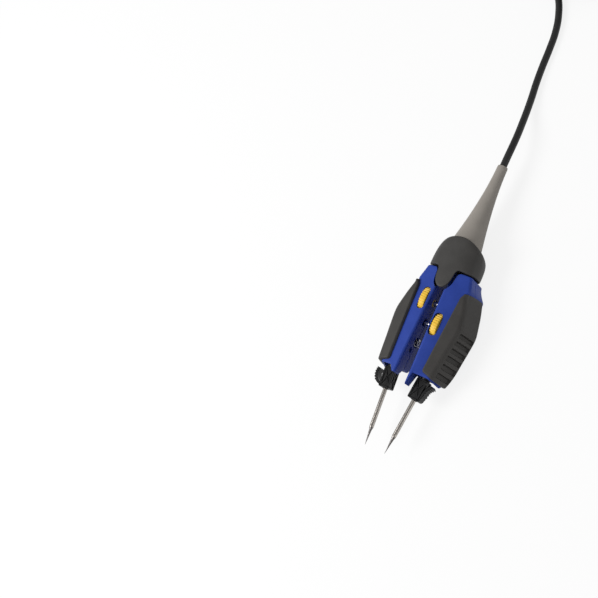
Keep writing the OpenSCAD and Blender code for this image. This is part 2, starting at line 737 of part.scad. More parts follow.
// Strain relief: trumpet that thins towards the cord, with a neck inside the collar
module strain_relief() {
    n = 16;
    sides = 48;
    rings = [for (i = [0:n]) let (u = i / n, r = relief_end_r + (relief_base_r - relief_end_r) * pow(1 - u, 1.9))
        [for (j = [0:sides - 1]) let (a = 360 * j / sides, z = axis_z + r * sin(a))
            [r * cos(a), along(relief_at + seat_fit + (relief_len - seat_fit) * u) - rim_shift(z) * pow(1 - u, 3), z]]];
    skin = [for (i = [0:n - 1], j = [0:sides - 1])
        let (p = i * sides + j, q = i * sides + (j + 1) % sides)
        each [[p, q, q + sides], [p, q + sides, p + sides]]];
    base = (n + 1) * sides;
    front = [for (j = [0:sides - 1]) [base, (j + 1) % sides, j]];
    back = [for (j = [0:sides - 1]) [base + 1, n * sides + j, n * sides + (j + 1) % sides]];
    middle = [[0, along(relief_at + seat_fit) - rim_shift(axis_z), axis_z], [0, along(relief_at + relief_len), axis_z]];
    color("gray") {
        difference() {
            polyhedron(concat([for (r = rings) each r], middle), concat(skin, front, back));
            translate([0, along(block_at), axis_z]) rotate([-90, 0, 0])
                cylinder(r = neck_r, h = relief_at - neck_len - block_at);
        }
        translate([0, along(relief_at - neck_len), axis_z]) rotate([-90, 0, 0]) cylinder(r = neck_r, h = 2 * neck_len);
    }
}

// Cord, coil and tie
module cord_run() { color("#1c1c1c") sweep(run_points, cord_d / 2, cord_sides); }
module cord_tail() { color("#1c1c1c") sweep(tail_points, cord_d / 2, cord_sides); }
module cord_coil() {
    color("#1c1c1c") translate([coil_at.x, coil_at.y, tie_t]) rotate_extrude()
        translate([coil_r - coil_side / 2, 0]) square(coil_side);
}
module coil_tie() {
    gap = 0.1;
    color("black") translate([coil_at.x + coil_r, coil_at.y, 0]) difference() {
        translate([-coil_side / 2 - gap - tie_t - 0.4, -tie_w / 2, 0])
            cube([coil_side + 2 * gap + 2 * tie_t + 0.6, tie_w, coil_side + 2 * tie_t + gap]);
        translate([-coil_side / 2 - gap - 0.4, -tie_w, tie_t - 0.02])
            cube([coil_side + 2 * gap + 0.6, 2 * tie_w, coil_side + gap + 0.02]);
    }
}

// Plug: boot, body with grip rings, metal shell, insert and pins
module on_plug() { translate(plug_at) rotate([-90, 0, 0]) children(); }
module plug_boot() {
    color("#1c1c1c") on_plug() rotate_extrude()
        polygon([[0, 0], [cord_d * 0.7, 0], [plug_body_d * 0.34, plug_boot_len], [0, plug_boot_len]]);
}
module plug_body() {
    r = plug_body_d / 2;
    c = 1.2;
    color("#262626") on_plug() translate([0, 0, plug_boot_len]) difference() {
        rotate_extrude() polygon([
            [0, 0], [r - 2 * c, 0], [r - c, c], [r, 3 * c], [r, plug_body_len - c],
            [r - c, plug_body_len], [0, plug_body_len]]);
        for (i = [0:4]) translate([0, 0, plug_body_len * 0.3 + 2.4 * i]) rotate_extrude()
            translate([r, 0]) circle(0.5, $fn = 16);
    }
}
plug_face = plug_boot_len + plug_body_len;
module plug_shell() {
    color("silver") on_plug() translate([0, 0, plug_face]) difference() {
        cylinder(r = plug_shell_d / 2, h = plug_shell_len);
        translate([0, 0, -1]) cylinder(r = plug_shell_d / 2 - plug_wall, h = plug_shell_len + 2);
    }
}
module plug_insert() {
    color("#1c1c1c") on_plug() translate([0, 0, plug_face]) difference() {
        cylinder(r = plug_shell_d / 2 - plug_wall - fit, h = plug_insert_len);
        plug_pin_places() translate([0, 0, -1]) cylinder(r = plug_pin_r + fit, h = plug_insert_len + 2, $fn = 20);
    }
}
module plug_pins() {
    color("gold") on_plug() translate([0, 0, plug_face]) plug_pin_places()
        cylinder(r = plug_pin_r, h = plug_pin_len, $fn = 20);
}
module plug_pin_places() {
    for (i = [0:plug_pin_count - 1]) rotate(300 * i / (plug_pin_count - 1) + 30)
        translate([plug_shell_d * 0.27, 0, 0]) children();
}

collar();
core_frame();
strain_relief();
hinge_pins();
collar_screws();
return_spring();
left_upper_shell();
left_lower_shell();
left_grip();
left_arm_frame();
left_tip_socket();
left_contacts();
left_leads();
left_arm_screws();
right_upper_shell();
right_lower_shell();
right_grip();
right_arm_frame();
right_tip_socket();
right_contacts();
right_leads();
right_arm_screws();
left_tip_holder();
left_tip_rod();
left_tip_needle();
right_tip_holder();
right_tip_rod();
right_tip_needle();
left_dial();
eccentric_pin();
right_dial();
stop_screw();
cord_run();
cord_coil();
coil_tie();
cord_tail();
plug_boot();
plug_body();
plug_shell();
plug_insert();
plug_pins();
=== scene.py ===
"""Soldering tweezers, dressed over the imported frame.

Lengths are millimetres until a mesh is made. Along the tool they are stations, counted from the points of
the tips towards the cord. +X is the right arm, +Y the cord's side and +Z the side with the dials.
"""

from __future__ import annotations

import json
import logging
import math
from dataclasses import dataclass, field
from enum import Enum
from typing import Any, Iterable, Sequence

import bmesh
import bpy
import numpy as np
from mathutils import Matrix, Vector

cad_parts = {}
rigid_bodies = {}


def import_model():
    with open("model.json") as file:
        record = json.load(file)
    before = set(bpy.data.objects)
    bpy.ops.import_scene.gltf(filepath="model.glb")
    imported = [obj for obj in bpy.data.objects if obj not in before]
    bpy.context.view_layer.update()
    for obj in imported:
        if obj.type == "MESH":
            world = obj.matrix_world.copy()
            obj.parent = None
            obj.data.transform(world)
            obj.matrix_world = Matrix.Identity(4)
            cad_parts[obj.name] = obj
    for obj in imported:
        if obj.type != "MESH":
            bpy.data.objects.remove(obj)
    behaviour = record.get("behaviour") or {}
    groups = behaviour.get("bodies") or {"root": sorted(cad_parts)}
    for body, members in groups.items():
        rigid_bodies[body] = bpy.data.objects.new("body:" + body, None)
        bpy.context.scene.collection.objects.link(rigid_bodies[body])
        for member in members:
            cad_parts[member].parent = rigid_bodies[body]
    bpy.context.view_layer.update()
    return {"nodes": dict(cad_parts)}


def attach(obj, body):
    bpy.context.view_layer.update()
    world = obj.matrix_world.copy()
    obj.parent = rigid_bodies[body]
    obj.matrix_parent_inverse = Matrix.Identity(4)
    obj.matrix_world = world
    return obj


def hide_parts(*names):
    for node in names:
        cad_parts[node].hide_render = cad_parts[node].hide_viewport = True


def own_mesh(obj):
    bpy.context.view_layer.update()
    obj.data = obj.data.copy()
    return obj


LOG = logging.getLogger("tweezers")
MM = 0.001
Colour = tuple[float, float, float]
Array = np.ndarray
Shape = tuple[np.ndarray, list[list[int]]]


# Arms


class Side(Enum):
    """The two arms; the value is the sign of their X."""

    LEFT = -1.0
    RIGHT = 1.0

    @property
    def word(self) -> str:
        """Name of the side as the nodes use it."""
        return self.name.lower()


@dataclass(frozen=True)
class ToolForm:
    """Sizes that several pieces share, and the plan and heights of an arm."""

    tool_len: float = 168.0
    holder_at: float = 32.6
    arm_at: float = 44.0
    arm_end: float = 102.3
    collar_at: float = 103.0
    relief_at: float = 121.0
    grip_at: float = 46.0
    grip_end: float = 92.5
    axis_z: float = 11.5
    dial_z: float = 13.1
    arm_h: float = 21.0
    gap_half: float = 3.9
    gap_taper: float = 0.03
    front_half_w: float = 17.2
    flare: float = 0.13
    rear_half_w: float = 13.6
    waist: float = 0.25
    side_lean: float = 4.6
    grip_sweep: float = 2.4
    rim_sweep: float = 7.4
    collar_rise: float = 10.2
    roof_fall: float = 0.25
    wall: float = 1.2
    grip_t: float = 2.0
    tip_half: float = 6.3
    lean: float = 2.9 / 32.6
    dial_x: float = 6.45
    dial_w: float = 3.5
    dial_r: float = 8.2
    left_dial_at: float = 83.5
    right_dial_at: float = 72.0
    spring_at: float = 60.5
    bow: float = 0.0006
    keel_rise: float = 0.035
    keel_len: float = 12.0
    brow_drop: float = 4.0
    grip_share: float = 0.46
    grip_slant: float = 0.06
    grip_front_r: float = 1.6
    grip_rear_r: float = 3.5
    tongue_len: float = 11.5

    def along(self, t: Any) -> Any:
        """Place along Y of a station."""
        return t - self.tool_len / 2

    def inner_x(self, t: Any) -> Any:
        """Inner wall: the gap narrows evenly towards the collar."""
        return self.gap_half - self.gap_taper * (t - self.arm_at)

    def outer_x(self, t: Any) -> Any:
        """Outer side over the grip: a widening line and a narrowing one, rounded where they cross."""
        wide = self.front_half_w + self.flare * (t - self.grip_at)
        narrow = self.rear_half_w + self.waist * (self.collar_at - t)
        return (wide + narrow - np.sqrt((wide - narrow) ** 2 + 1)) / 2

    def shell_x(self, t: Any) -> Any:
        """Outer side of the moulding, which steps out to full width behind the grip."""
        return self.outer_x(t) - self.grip_t * (1 - ease(self.grip_end - 2, self.grip_end + 2, t))

    def flank_x(self, t: Any, z: Any) -> Any:
        """Side of the moulding at a height: it leans outwards below the brow, upright near the collar."""
        fade = 1 - ease(self.collar_at - 13, self.collar_at - 2, t)
        below = np.maximum(0, 1 - z / (self.arm_h - self.brow_drop))
        return self.shell_x(t) + self.side_lean * fade * below

    def ridge_z(self, t: Any) -> Any:
        """Height of the inner edge of the top: a shallow bow along the arm."""
        return self.arm_h - self.bow * (t - self.right_dial_at) ** 2

    def roof_z(self, t: Any, x: Any) -> Any:
        """Height of the top: it falls evenly from the inner edge outwards."""
        return self.ridge_z(t) - self.roof_fall * (x - self.inner_x(t))

    def keel_z(self, t: Any) -> Any:
        """Height of the underside, which lifts in a curve at the front."""
        return self.keel_rise * np.maximum(0, self.arm_at + self.keel_len - t) ** 2

    def grip_line(self, t: Any) -> Any:
        """Straight line along the inner edge of the grip on the top."""
        start = self.gap_half + self.grip_share * (self.front_half_w - self.gap_half)
        return start + self.grip_slant * (t - self.grip_at)

    def grip_edge(self, t: Any) -> Any:
        """Edge of the grip on the top: straight, with a round corner at each end."""
        front, rear = self.grip_front_r, self.grip_rear_r
        u = np.clip((t - self.grip_end + rear) / rear, 0, 1)
        v = np.clip((self.grip_at + front - t) / front, 0, 1)
        bend = rear * (1 - np.sqrt(1 - u * u)) + front * (1 - np.sqrt(1 - v * v))
        return np.minimum(self.grip_line(t) + bend, self.shell_x(t) - self.wall)

    def sweep(self, t: Any, x: Any) -> Any:
        """How far the grip's front end reaches forwards at a station and a distance from the middle."""
        share = ease(self.grip_line(self.grip_at), self.front_half_w + self.side_lean / 2, x)
        return self.grip_sweep * share * (1 - ease(self.grip_at, self.grip_at + 14, t))

    def rim_shift(self, z: Any) -> Any:
        """How far the collar's rear rim lies ahead of its top at a height; it comes back underneath."""
        depth = self.axis_z + self.collar_rise - z
        swept = self.rim_sweep * (1 - np.exp(-depth / 9)) - 1.1 * np.exp(-depth / 6)
        return swept * ease(-2.0, 9.0, z)

    def rod_x(self, t: Any) -> Any:
        """Axis of a rod, which leans inwards towards the point."""
        return self.tip_half + self.lean * t

    def tongue_front(self, x: Any) -> Any:
        """Station of the collar's front edge on top: a round nose, then hollow curves to the shoulders."""
        u, nose, reach, bend = np.abs(x), 4.9, 8.0, 2.4
        round_end = 1 - np.sqrt(np.clip(1 - (u / nose) ** 2.2, 0, 1))
        hollow = np.sqrt(np.clip(1 - (np.clip(nose + bend - u, 0, bend) / bend) ** 2, 0, 1))
        return self.collar_at - self.tongue_len + reach * round_end + (self.tongue_len - reach) * hollow


FORM = ToolForm()


# Surfaces


def ease(a: float, b: float, t: Any) -> Any:
    """Smooth step from 0 at a to 1 at b."""
    s = np.clip((np.asarray(t, float) - a) / (b - a), 0, 1)
    return s * s * (3 - 2 * s)


def unit(v: Array) -> Array:
    """Vectors of length one along the last axis."""
    return v / np.maximum(np.linalg.norm(v, axis=-1, keepdims=True), 1e-12)


def fillet(a: Array, b: Array, c: Array, r: Any, n: int) -> Array:
    """Arcs of radius r round the corners b between a and c.

    The centre lies on the bisector at r over the sine of half the angle; the points are spread between
    the two tangent points and put back on the circle.

    Args:
        a: Points before the corners, one row for each station.
        b: The corners.
        c: Points after the corners.
        r: Radius, one for all or one for each station.
        n: Number of steps.

    Returns:
        Array of stations by n + 1 by 2.
    """
    r = np.broadcast_to(np.asarray(r, float), (len(b),))[:, None]
    u, v = unit(a - b), unit(c - b)
    half = np.arccos(np.clip((u * v).sum(-1, keepdims=True), -1, 1)) / 2
    mid = b + unit(u + v) * r / np.sin(half)
    first, last = b + u * r / np.tan(half), b + v * r / np.tan(half)
    s = np.linspace(0, 1, n + 1)[None, :, None]
    chord = first[:, None] * (1 - s) + last[:, None] * s
    return mid[:, None] + r[:, None] * unit(chord - mid[:, None])


def straight(a: Array, b: Array, n: int) -> Array:
    """n points from a towards b, b left out."""
    s = np.linspace(0, 1, n, endpoint=False)[None, :, None]
    return a[:, None] * (1 - s) + b[:, None] * s


def pair(x: Any, z: Any) -> Array:
    """Rows of [x, z], one for each station."""
    x, z = np.broadcast_arrays(np.asarray(x, float), np.asarray(z, float))
    return np.stack([x, z], -1)


class Ends(Enum):
    """How the two ends of a loft are closed."""

    FLAT = 0
    STRIP = 1
    LOOP = 2


def grid_faces(rows: int, cols: int, wrap: bool) -> Array:
    """Quads of a grid of closed rows, counted row by row; wrap joins the last row to the first."""
    i = np.arange(rows if wrap else rows - 1)[:, None]
    j = np.arange(cols)[None, :]
    i2, j2 = (i + 1) % rows, (j + 1) % cols
    corners = (i * cols + j, i * cols + j2, i2 * cols + j2, i2 * cols + j)
    return np.stack([np.broadcast_to(k, (i.size, j.size)).ravel() for k in corners], -1)


def loft(rings: Array, ends: Ends = Ends.FLAT) -> Shape:
    """Skin over closed rings, one for each station.

    Args:
        rings: Array of stations by points by 3.
        ends: Flat caps, a strip that pairs the first half of a ring with its second, or the last ring
            joined to the first.

    Returns:
        Points and faces.
    """
    m, n, _ = rings.shape
    faces = grid_faces(m, n, ends is Ends.LOOP).tolist()
    if ends is Ends.FLAT:
        faces += [list(range(n - 1, -1, -1)), list(range((m - 1) * n, m * n))]
    elif ends is Ends.STRIP:
        j = np.arange(n // 2 - 1)
        k = n - 1 - j
        strip = np.stack([j, k, k - 1, j + 1], -1)
        faces += strip.tolist() + (strip[:, ::-1] + (m - 1) * n).tolist()
    return rings.reshape(-1, 3), faces


def revolve(
    profile: Sequence[tuple[float, float]], steps: int, origin: Array, axis: Array, ring: bool = False
) -> Shape:
    """Solid of revolution.

    Args:
        profile: Pairs of radius and distance along the axis; the first and last are closed by caps.
        steps: Number of points round.
        origin: Point on the axis where the distance is zero.
        axis: Direction of the axis.
        ring: Join the last pair to the first instead, which leaves a bore.

    Returns:
        Points and faces.
    """
    p = np.asarray(profile, float)
    w = unit(np.asarray(axis, float))
    u = unit(np.cross(w, (0.0, 0.0, 1.0) if abs(w[2]) < 0.9 else (1.0, 0.0, 0.0)))
    v = np.cross(w, u)
    a = np.linspace(0, 2 * math.pi, steps, endpoint=False)[None, :, None]
    turned = np.cos(a) * u + np.sin(a) * v
    rings = np.asarray(origin) + p[:, 1, None, None] * w + p[:, 0, None, None] * turned
    return loft(rings, Ends.LOOP if ring else Ends.FLAT)


def rounded(profile: Sequence[tuple[float, float]], r: float, n: int = 4) -> list[tuple[float, float]]:
    """Profile with its inner corners rounded to r, or less where a side is short."""
    p = np.asarray(profile, float)
    a, b, c = p[:-2], p[1:-1], p[2:]
    short = np.minimum(np.linalg.norm(a - b, axis=1), np.linalg.norm(c - b, axis=1))
    cosine = np.clip((unit(a - b) * unit(c - b)).sum(-1), -0.99999, 0.99999)
    reach = np.minimum(r, 0.45 * short * np.tan(np.arccos(cosine) / 2))
    arcs = fillet(a, b, c, reach, n).reshape(-1, 2)
    return [tuple(p[0]), *map(tuple, arcs), tuple(p[-1])]


def tube(path: Array, r: float, sides: int) -> Shape:
    """Round tube along a path, with a frame from the tangent and the most upright normal."""
    ahead = unit(np.gradient(path, axis=0))
    up = np.where(np.abs(ahead[:, 2:]) > 0.92, [[1.0, 0.0, 0.0]], [[0.0, 0.0, 1.0]])
    side = unit(np.cross(ahead, up))
    top = np.cross(side, ahead)
    a = np.linspace(0, 2 * math.pi, sides, endpoint=False)[None, :, None]
    rings = path[:, None] + r * (np.cos(a) * side[:, None] + np.sin(a) * top[:, None])
    return loft(rings)


def through(points: Array, per_span: int) -> Array:
    """Catmull-Rom curve through points, as an array."""
    p = np.vstack([2 * points[0] - points[1], points, 2 * points[-1] - points[-2]])
    s = np.linspace(0, 1, per_span, endpoint=False)[None, :, None]
    a, b, c, d = (p[i : len(p) - 3 + i, None] for i in range(4))
    cubic = (3 * b - a - 3 * c + d) * s**3
    spans = 0.5 * (2 * b + (c - a) * s + (2 * a - 5 * b + 4 * c - d) * s**2 + cubic)
    return np.vstack([spans.reshape(-1, points.shape[1]), points[-1]])


def join(*parts: Shape) -> Shape:
    """Several solids as one list of points and faces."""
    points: list[Array] = []
    faces: list[list[int]] = []
    start = 0
    for verts, quads in parts:
        points.append(np.asarray(verts))
        faces += [[k + start for k in f] for f in quads]
        start += len(verts)
    return np.vstack(points), faces


def mirrored(shape: Shape, side: Side) -> Shape:
    """Shape of the right arm, or its mirror image with its faces turned back."""
    verts, faces = shape
    if side is Side.RIGHT:
        return verts, faces
    return verts * np.array([-1.0, 1.0, 1.0]), [list(f)[::-1] for f in faces]


def make(name: str, shape: Shape, sharp: float = 38.0) -> bpy.types.Object:
    """Mesh object from points in millimetres, smooth except at edges sharper than an angle.

    Args:
        name: Name of the piece.
        shape: Points and faces.
        sharp: Angle in degrees past which an edge stays sharp.

    Returns:
        The new object, at the origin.
    """
    verts, faces = shape
    mesh = bpy.data.meshes.new(name)
    mesh.from_pydata((np.asarray(verts) * MM).tolist(), [], [list(f) for f in faces])
    piece = bpy.data.objects.new(name, mesh)
    bpy.context.scene.collection.objects.link(piece)
    settle(mesh, sharp)
    return piece


def settle(mesh: bpy.types.Mesh, sharp: float) -> None:
    """Merge doubles, turn the faces outwards and set the shading."""
    work = bmesh.new()
    work.from_mesh(mesh)
    bmesh.ops.remove_doubles(work, verts=work.verts, dist=1e-7)
    bmesh.ops.dissolve_degenerate(work, dist=1e-7, edges=work.edges)
    bmesh.ops.recalc_face_normals(work, faces=work.faces)
    work.to_mesh(mesh)
    work.free()
    mesh.shade_smooth()
    mesh.set_sharp_from_angle(angle=math.radians(sharp))
    mesh.update()


def carve(piece: bpy.types.Object, cutters: Iterable[Shape], sharp: float = 30.0) -> None:
    """Cut closed shapes out of a piece and keep the result as its mesh."""
    for i, shape in enumerate(cutters):
        cutter = make(f"{piece.name}_cutter_{i}", shape)
        step = piece.modifiers.new("cut", "BOOLEAN")
        step.operation = "DIFFERENCE"
        step.solver = "EXACT"
        step.object = cutter
        graph = bpy.context.evaluated_depsgraph_get()
        result = bpy.data.meshes.new_from_object(piece.evaluated_get(graph))
        piece.modifiers.clear()
        old, piece.data = piece.data, result
        bpy.data.meshes.remove(old)
        blade = cutter.data
        bpy.data.objects.remove(cutter)
        bpy.data.meshes.remove(blade)
    piece.data.name = piece.name
    settle(piece.data, sharp)


def soften(piece: bpy.types.Object, width: float, segments: int = 2, angle: float = 40.0) -> None:
    """Small rounded edges on a piece with sharp ones."""
    step = piece.modifiers.new("edges", "BEVEL")
    step.width = width * MM
    step.segments = segments
    step.limit_method = "ANGLE"
    step.angle_limit = math.radians(angle)
    step.harden_normals = False
    step.use_clamp_overlap = True


def bar(start: Sequence[float], end: Sequence[float], r: float, steps: int = 40) -> Shape:
    """Plain round bar between two points, for cutting holes."""
    a, b = np.asarray(start, float), np.asarray(end, float)
    return revolve([(r, 0.0), (r, float(np.linalg.norm(b - a)))], steps, a, b - a)


def prism(plan: Array, low: float, high: float) -> Shape:
    """Upright prism over a plan of [x, y], for cutting slots."""
    return loft(np.stack([np.column_stack([plan, np.full(len(plan), z)]) for z in (low, high)]))


def rounded_box(x0: float, x1: float, z0: float, z1: float, r: float, n: int) -> Array:
    """Points of a rectangle in X and Z with its corners rounded to r in n steps."""
    corner = np.array([[x0, z0], [x1, z0], [x1, z1], [x0, z1]])
    return fillet(corner[[3, 0, 1, 2]], corner, corner[[1, 2, 3, 0]], r, n).reshape(-1, 2)


def strut(start: Array, end: Array, up: Array, width: float, depth: float, bevel: float = 0.25) -> Shape:
    """Flat bar between two points, with its two upper edges bevelled.

    Args:
        start: Middle of the bar's top at one end.
        end: Middle of the bar's top at the other end.
        up: Direction that the top faces.
        width: Width of the bar.
        depth: Height of the bar below its top.
        bevel: Height of the bevels.

    Returns:
        Points and faces.
    """
    w = unit(up.astype(float))
    side = unit(np.cross(end - start, w)) * width / 2
    low, high = depth * w, bevel * w
    ring = np.array([-side - low, side - low, side - high, 0.6 * side, -0.6 * side, -side - high])
    return loft(np.stack([start + ring, end + ring]))


# Finishes


class Value:
    """A number on a node's output; operators add the maths nodes."""

    def __init__(self, bench: "Bench", socket: bpy.types.NodeSocket) -> None:
        """Keep the socket and the bench it belongs to."""
        self.bench = bench
        self.socket = socket

    def _math(self, operation: str, a: Any, b: Any) -> "Value":
        """One maths node on two values."""
        return self.bench.node("ShaderNodeMath", {"operation": operation}, {0: a, 1: b})

    def __add__(self, other: Any) -> "Value":
        """Sum."""
        return self._math("ADD", self, other)

    def __mul__(self, other: Any) -> "Value":
        """Product."""
        return self._math("MULTIPLY", self, other)

    def band(self, low: float, high: float, out_low: float = 0.0, out_high: float = 1.0) -> "Value":
        """Value carried from one range to another, held at the ends."""
        inputs = {"Value": self, "From Min": low, "From Max": high, "To Min": out_low, "To Max": out_high}
        return self.bench.node("ShaderNodeMapRange", {"interpolation_type": "SMOOTHSTEP"}, inputs)


class Bench:
    """Builds the nodes of one material."""

    def __init__(self, name: str) -> None:
        """New material with only its output."""
        self.material = bpy.data.materials.new(name)
        self.material.use_nodes = True
        self.tree = self.material.node_tree
        self.tree.nodes.clear()
        self.place = self.node("ShaderNodeTexCoord", {}, {}, "Object")

    def node(self, kind: str, settings: dict[str, Any], inputs: dict[Any, Any], out: Any = 0) -> Value:
        """Add a node.

        Args:
            kind: Type of the node.
            settings: Properties set before its sockets.
            inputs: Values or links by socket name or number.
            out: Output to hand back.

        Returns:
            The output as a value.
        """
        added = self.tree.nodes.new(kind)
        for key, value in settings.items():
            setattr(added, key, value)
        for key, value in inputs.items():
            if isinstance(value, Value):
                self.tree.links.new(value.socket, added.inputs[key])
            else:
                added.inputs[key].default_value = value
        return Value(self, added.outputs[out])

    def stretched(self, scale: Sequence[float]) -> Value:
        """Object coordinates, scaled."""
        return self.node("ShaderNodeMapping", {}, {"Vector": self.place, "Scale": scale})

    def noise(
        self, scale: float, detail: float = 2.0, where: Value | None = None, rough: float = 0.5
    ) -> Value:
        """Even noise from 0 to 1; scale counts waves in a metre."""
        inputs = {"Vector": where or self.place, "Scale": scale, "Detail": detail, "Roughness": rough}
        return self.node("ShaderNodeTexNoise", {}, inputs, "Fac")

    def mix(self, factor: Any, a: Any, b: Any) -> Value:
        """Blend of two colours."""
        full = [(*c, 1.0) if isinstance(c, tuple) else c for c in (a, b)]
        return self.node("ShaderNodeMix", {"data_type": "RGBA"}, {0: factor, 6: full[0], 7: full[1]}, 2)

    def bump(self, height: Value, strength: float, depth: float) -> Value:
        """Normal from a height; depth is in millimetres."""
        inputs = {"Height": height, "Strength": strength, "Distance": depth * MM}
        return self.node("ShaderNodeBump", {}, inputs)

    def finish(self, sockets: dict[str, Any]) -> bpy.types.Material:
        """Close the material with one principled shader."""
        self.close(self.node("ShaderNodeBsdfPrincipled", {}, sockets))
        return self.material

    def close(self, shader: Value) -> None:
        """Link a shader to the material's output."""
        output = self.tree.nodes.new("ShaderNodeOutputMaterial")
        self.tree.links.new(shader.socket, output.inputs["Surface"])


@dataclass(frozen=True)
class Moulding:
    """Moulded plastic or rubber: faintly clouded colour, a fine grain and slight wear in the gloss."""

    name: str
    colour: Colour
    cloud: float = 0.08
    rough: float = 0.42
    grain: float = 4200.0
    grain_depth: float = 0.012
    shine: float = 0.3

    def material(self) -> bpy.types.Material:
        """Build the nodes: two noises for colour and gloss, one for the grain."""
        bench = Bench(self.name)
        clouds = bench.noise(140.0, 3.0)
        dust = bench.noise(1300.0, 4.0, rough=0.6)
        low = tuple(c * (1 - self.cloud) for c in self.colour)
        high = tuple(min(1.0, c * (1 + self.cloud) + 0.012 * self.cloud) for c in self.colour)
        tone = clouds * 0.65 + dust * 0.35
        gloss = clouds * 0.5 + dust * 0.5
        grain = bench.noise(self.grain, 2.0)
        sockets = {
            "Base Color": bench.mix(tone.band(0.3, 0.7), low, high),
            "Roughness": gloss.band(0.25, 0.75, self.rough - 0.06, self.rough + 0.07),
            "Normal": bench.bump(grain, 0.5, self.grain_depth),
            "Specular IOR Level": self.shine,
        }
        return bench.finish(sockets)


@dataclass(frozen=True)
class Metal:
    """Drawn or turned metal: fine lines along or round the piece, and a slight tarnish."""

    name: str
    colour: Colour
    tarnish: Colour
    rough: float = 0.24
    lines: Colour = (1500.0, 12.0, 1500.0)
    stain: float = 0.35

    def material(self) -> bpy.types.Material:
        """Build the nodes: stretched noise for the lines, round noise for the tarnish."""
        bench = Bench(self.name)
        lines = bench.noise(1.0, 3.0, bench.stretched(self.lines))
        spots = bench.noise(140.0, 3.0, rough=0.4)
        worn = spots.band(0.42, 0.72) * self.stain
        sockets = {
            "Base Color": bench.mix(worn, self.colour, self.tarnish),
            "Metallic": 1.0,
            "Roughness": lines.band(0.3, 0.7, self.rough - 0.05, self.rough + 0.07) + worn * 0.12,
            "Normal": bench.bump(lines, 0.05, 0.003),
        }
        return bench.finish(sockets)


class Paint:
    """All finishes of the tool, made once."""

    def __init__(self) -> None:
        """Build every material."""
        finishes = [
            Moulding("blue_moulding", (0.020, 0.050, 0.295), 0.07, 0.44, 3600.0, 0.010, shine=0.2),
            Moulding("soft_grip", (0.040, 0.0375, 0.035), 0.10, 0.60, 5200.0, 0.022, shine=0.32),
            Moulding("collar_moulding", (0.044, 0.042, 0.040), 0.10, 0.54, 4600.0, 0.016),
            Moulding("black_moulding", (0.005, 0.005, 0.0055), 0.12, 0.38, 3800.0, 0.010, shine=0.2),
            Moulding("silicone", (0.285, 0.262, 0.235), 0.05, 0.58, 5200.0, 0.010),
            Moulding("yellow_moulding", (0.82, 0.53, 0.062), 0.06, 0.40, 3800.0, 0.010),
            Moulding("insulator", (0.55, 0.47, 0.34), 0.08, 0.55),
            Moulding("wire_jacket", (0.42, 0.03, 0.025), 0.08, 0.40),
            Moulding("cord_jacket", (0.017, 0.017, 0.017), 0.12, 0.50, 5600.0, 0.012),
            Metal("drawn_steel", (0.36, 0.336, 0.31), (0.24, 0.22, 0.20), 0.30, stain=0.3),
            Metal("tip_plating", (0.16, 0.15, 0.145), (0.09, 0.085, 0.08), 0.38, stain=0.6),
            Metal("turned_brass", (0.78, 0.57, 0.25), (0.42, 0.28, 0.11), 0.28),
            Metal("nickel", (0.70, 0.69, 0.67), (0.45, 0.43, 0.40), 0.20),
        ]
        self.made = {f.name: f.material() for f in finishes}

    def coat(self, piece: bpy.types.Object, finish: str) -> None:
        """Give a piece or a node one finish all over."""
        piece.data.materials.clear()
        piece.data.materials.append(self.made[finish])


@dataclass
class Workshop:
    """What every sub-assembly needs: the frame's nodes and the finishes."""

    nodes: dict[str, bpy.types.Object]
    paint: Paint
    pieces: list[bpy.types.Object] = field(default_factory=list)

    def fit(
        self, piece: bpy.types.Object, body: str, finish: str, slot: str, *nodes: str
    ) -> bpy.types.Object:
        """Dress a piece, ride it on a body and hide the nodes it stands for."""
        self.paint.coat(piece, finish)
        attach(piece, body)
        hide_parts(*nodes)
        self.pieces.append(piece)
        LOG.info("%s rides on %s", piece.name, body)
        return piece

    def dress(self, finish: str, *nodes: str) -> None:
        """Give CAD nodes that stay a finish."""
        for name in nodes:
            node = self.nodes[name]
            if node.material_slots:
                for place in node.material_slots:
                    place.link = "OBJECT"
                    place.material = self.paint.made[finish]
            else:
                self.paint.coat(node, finish)


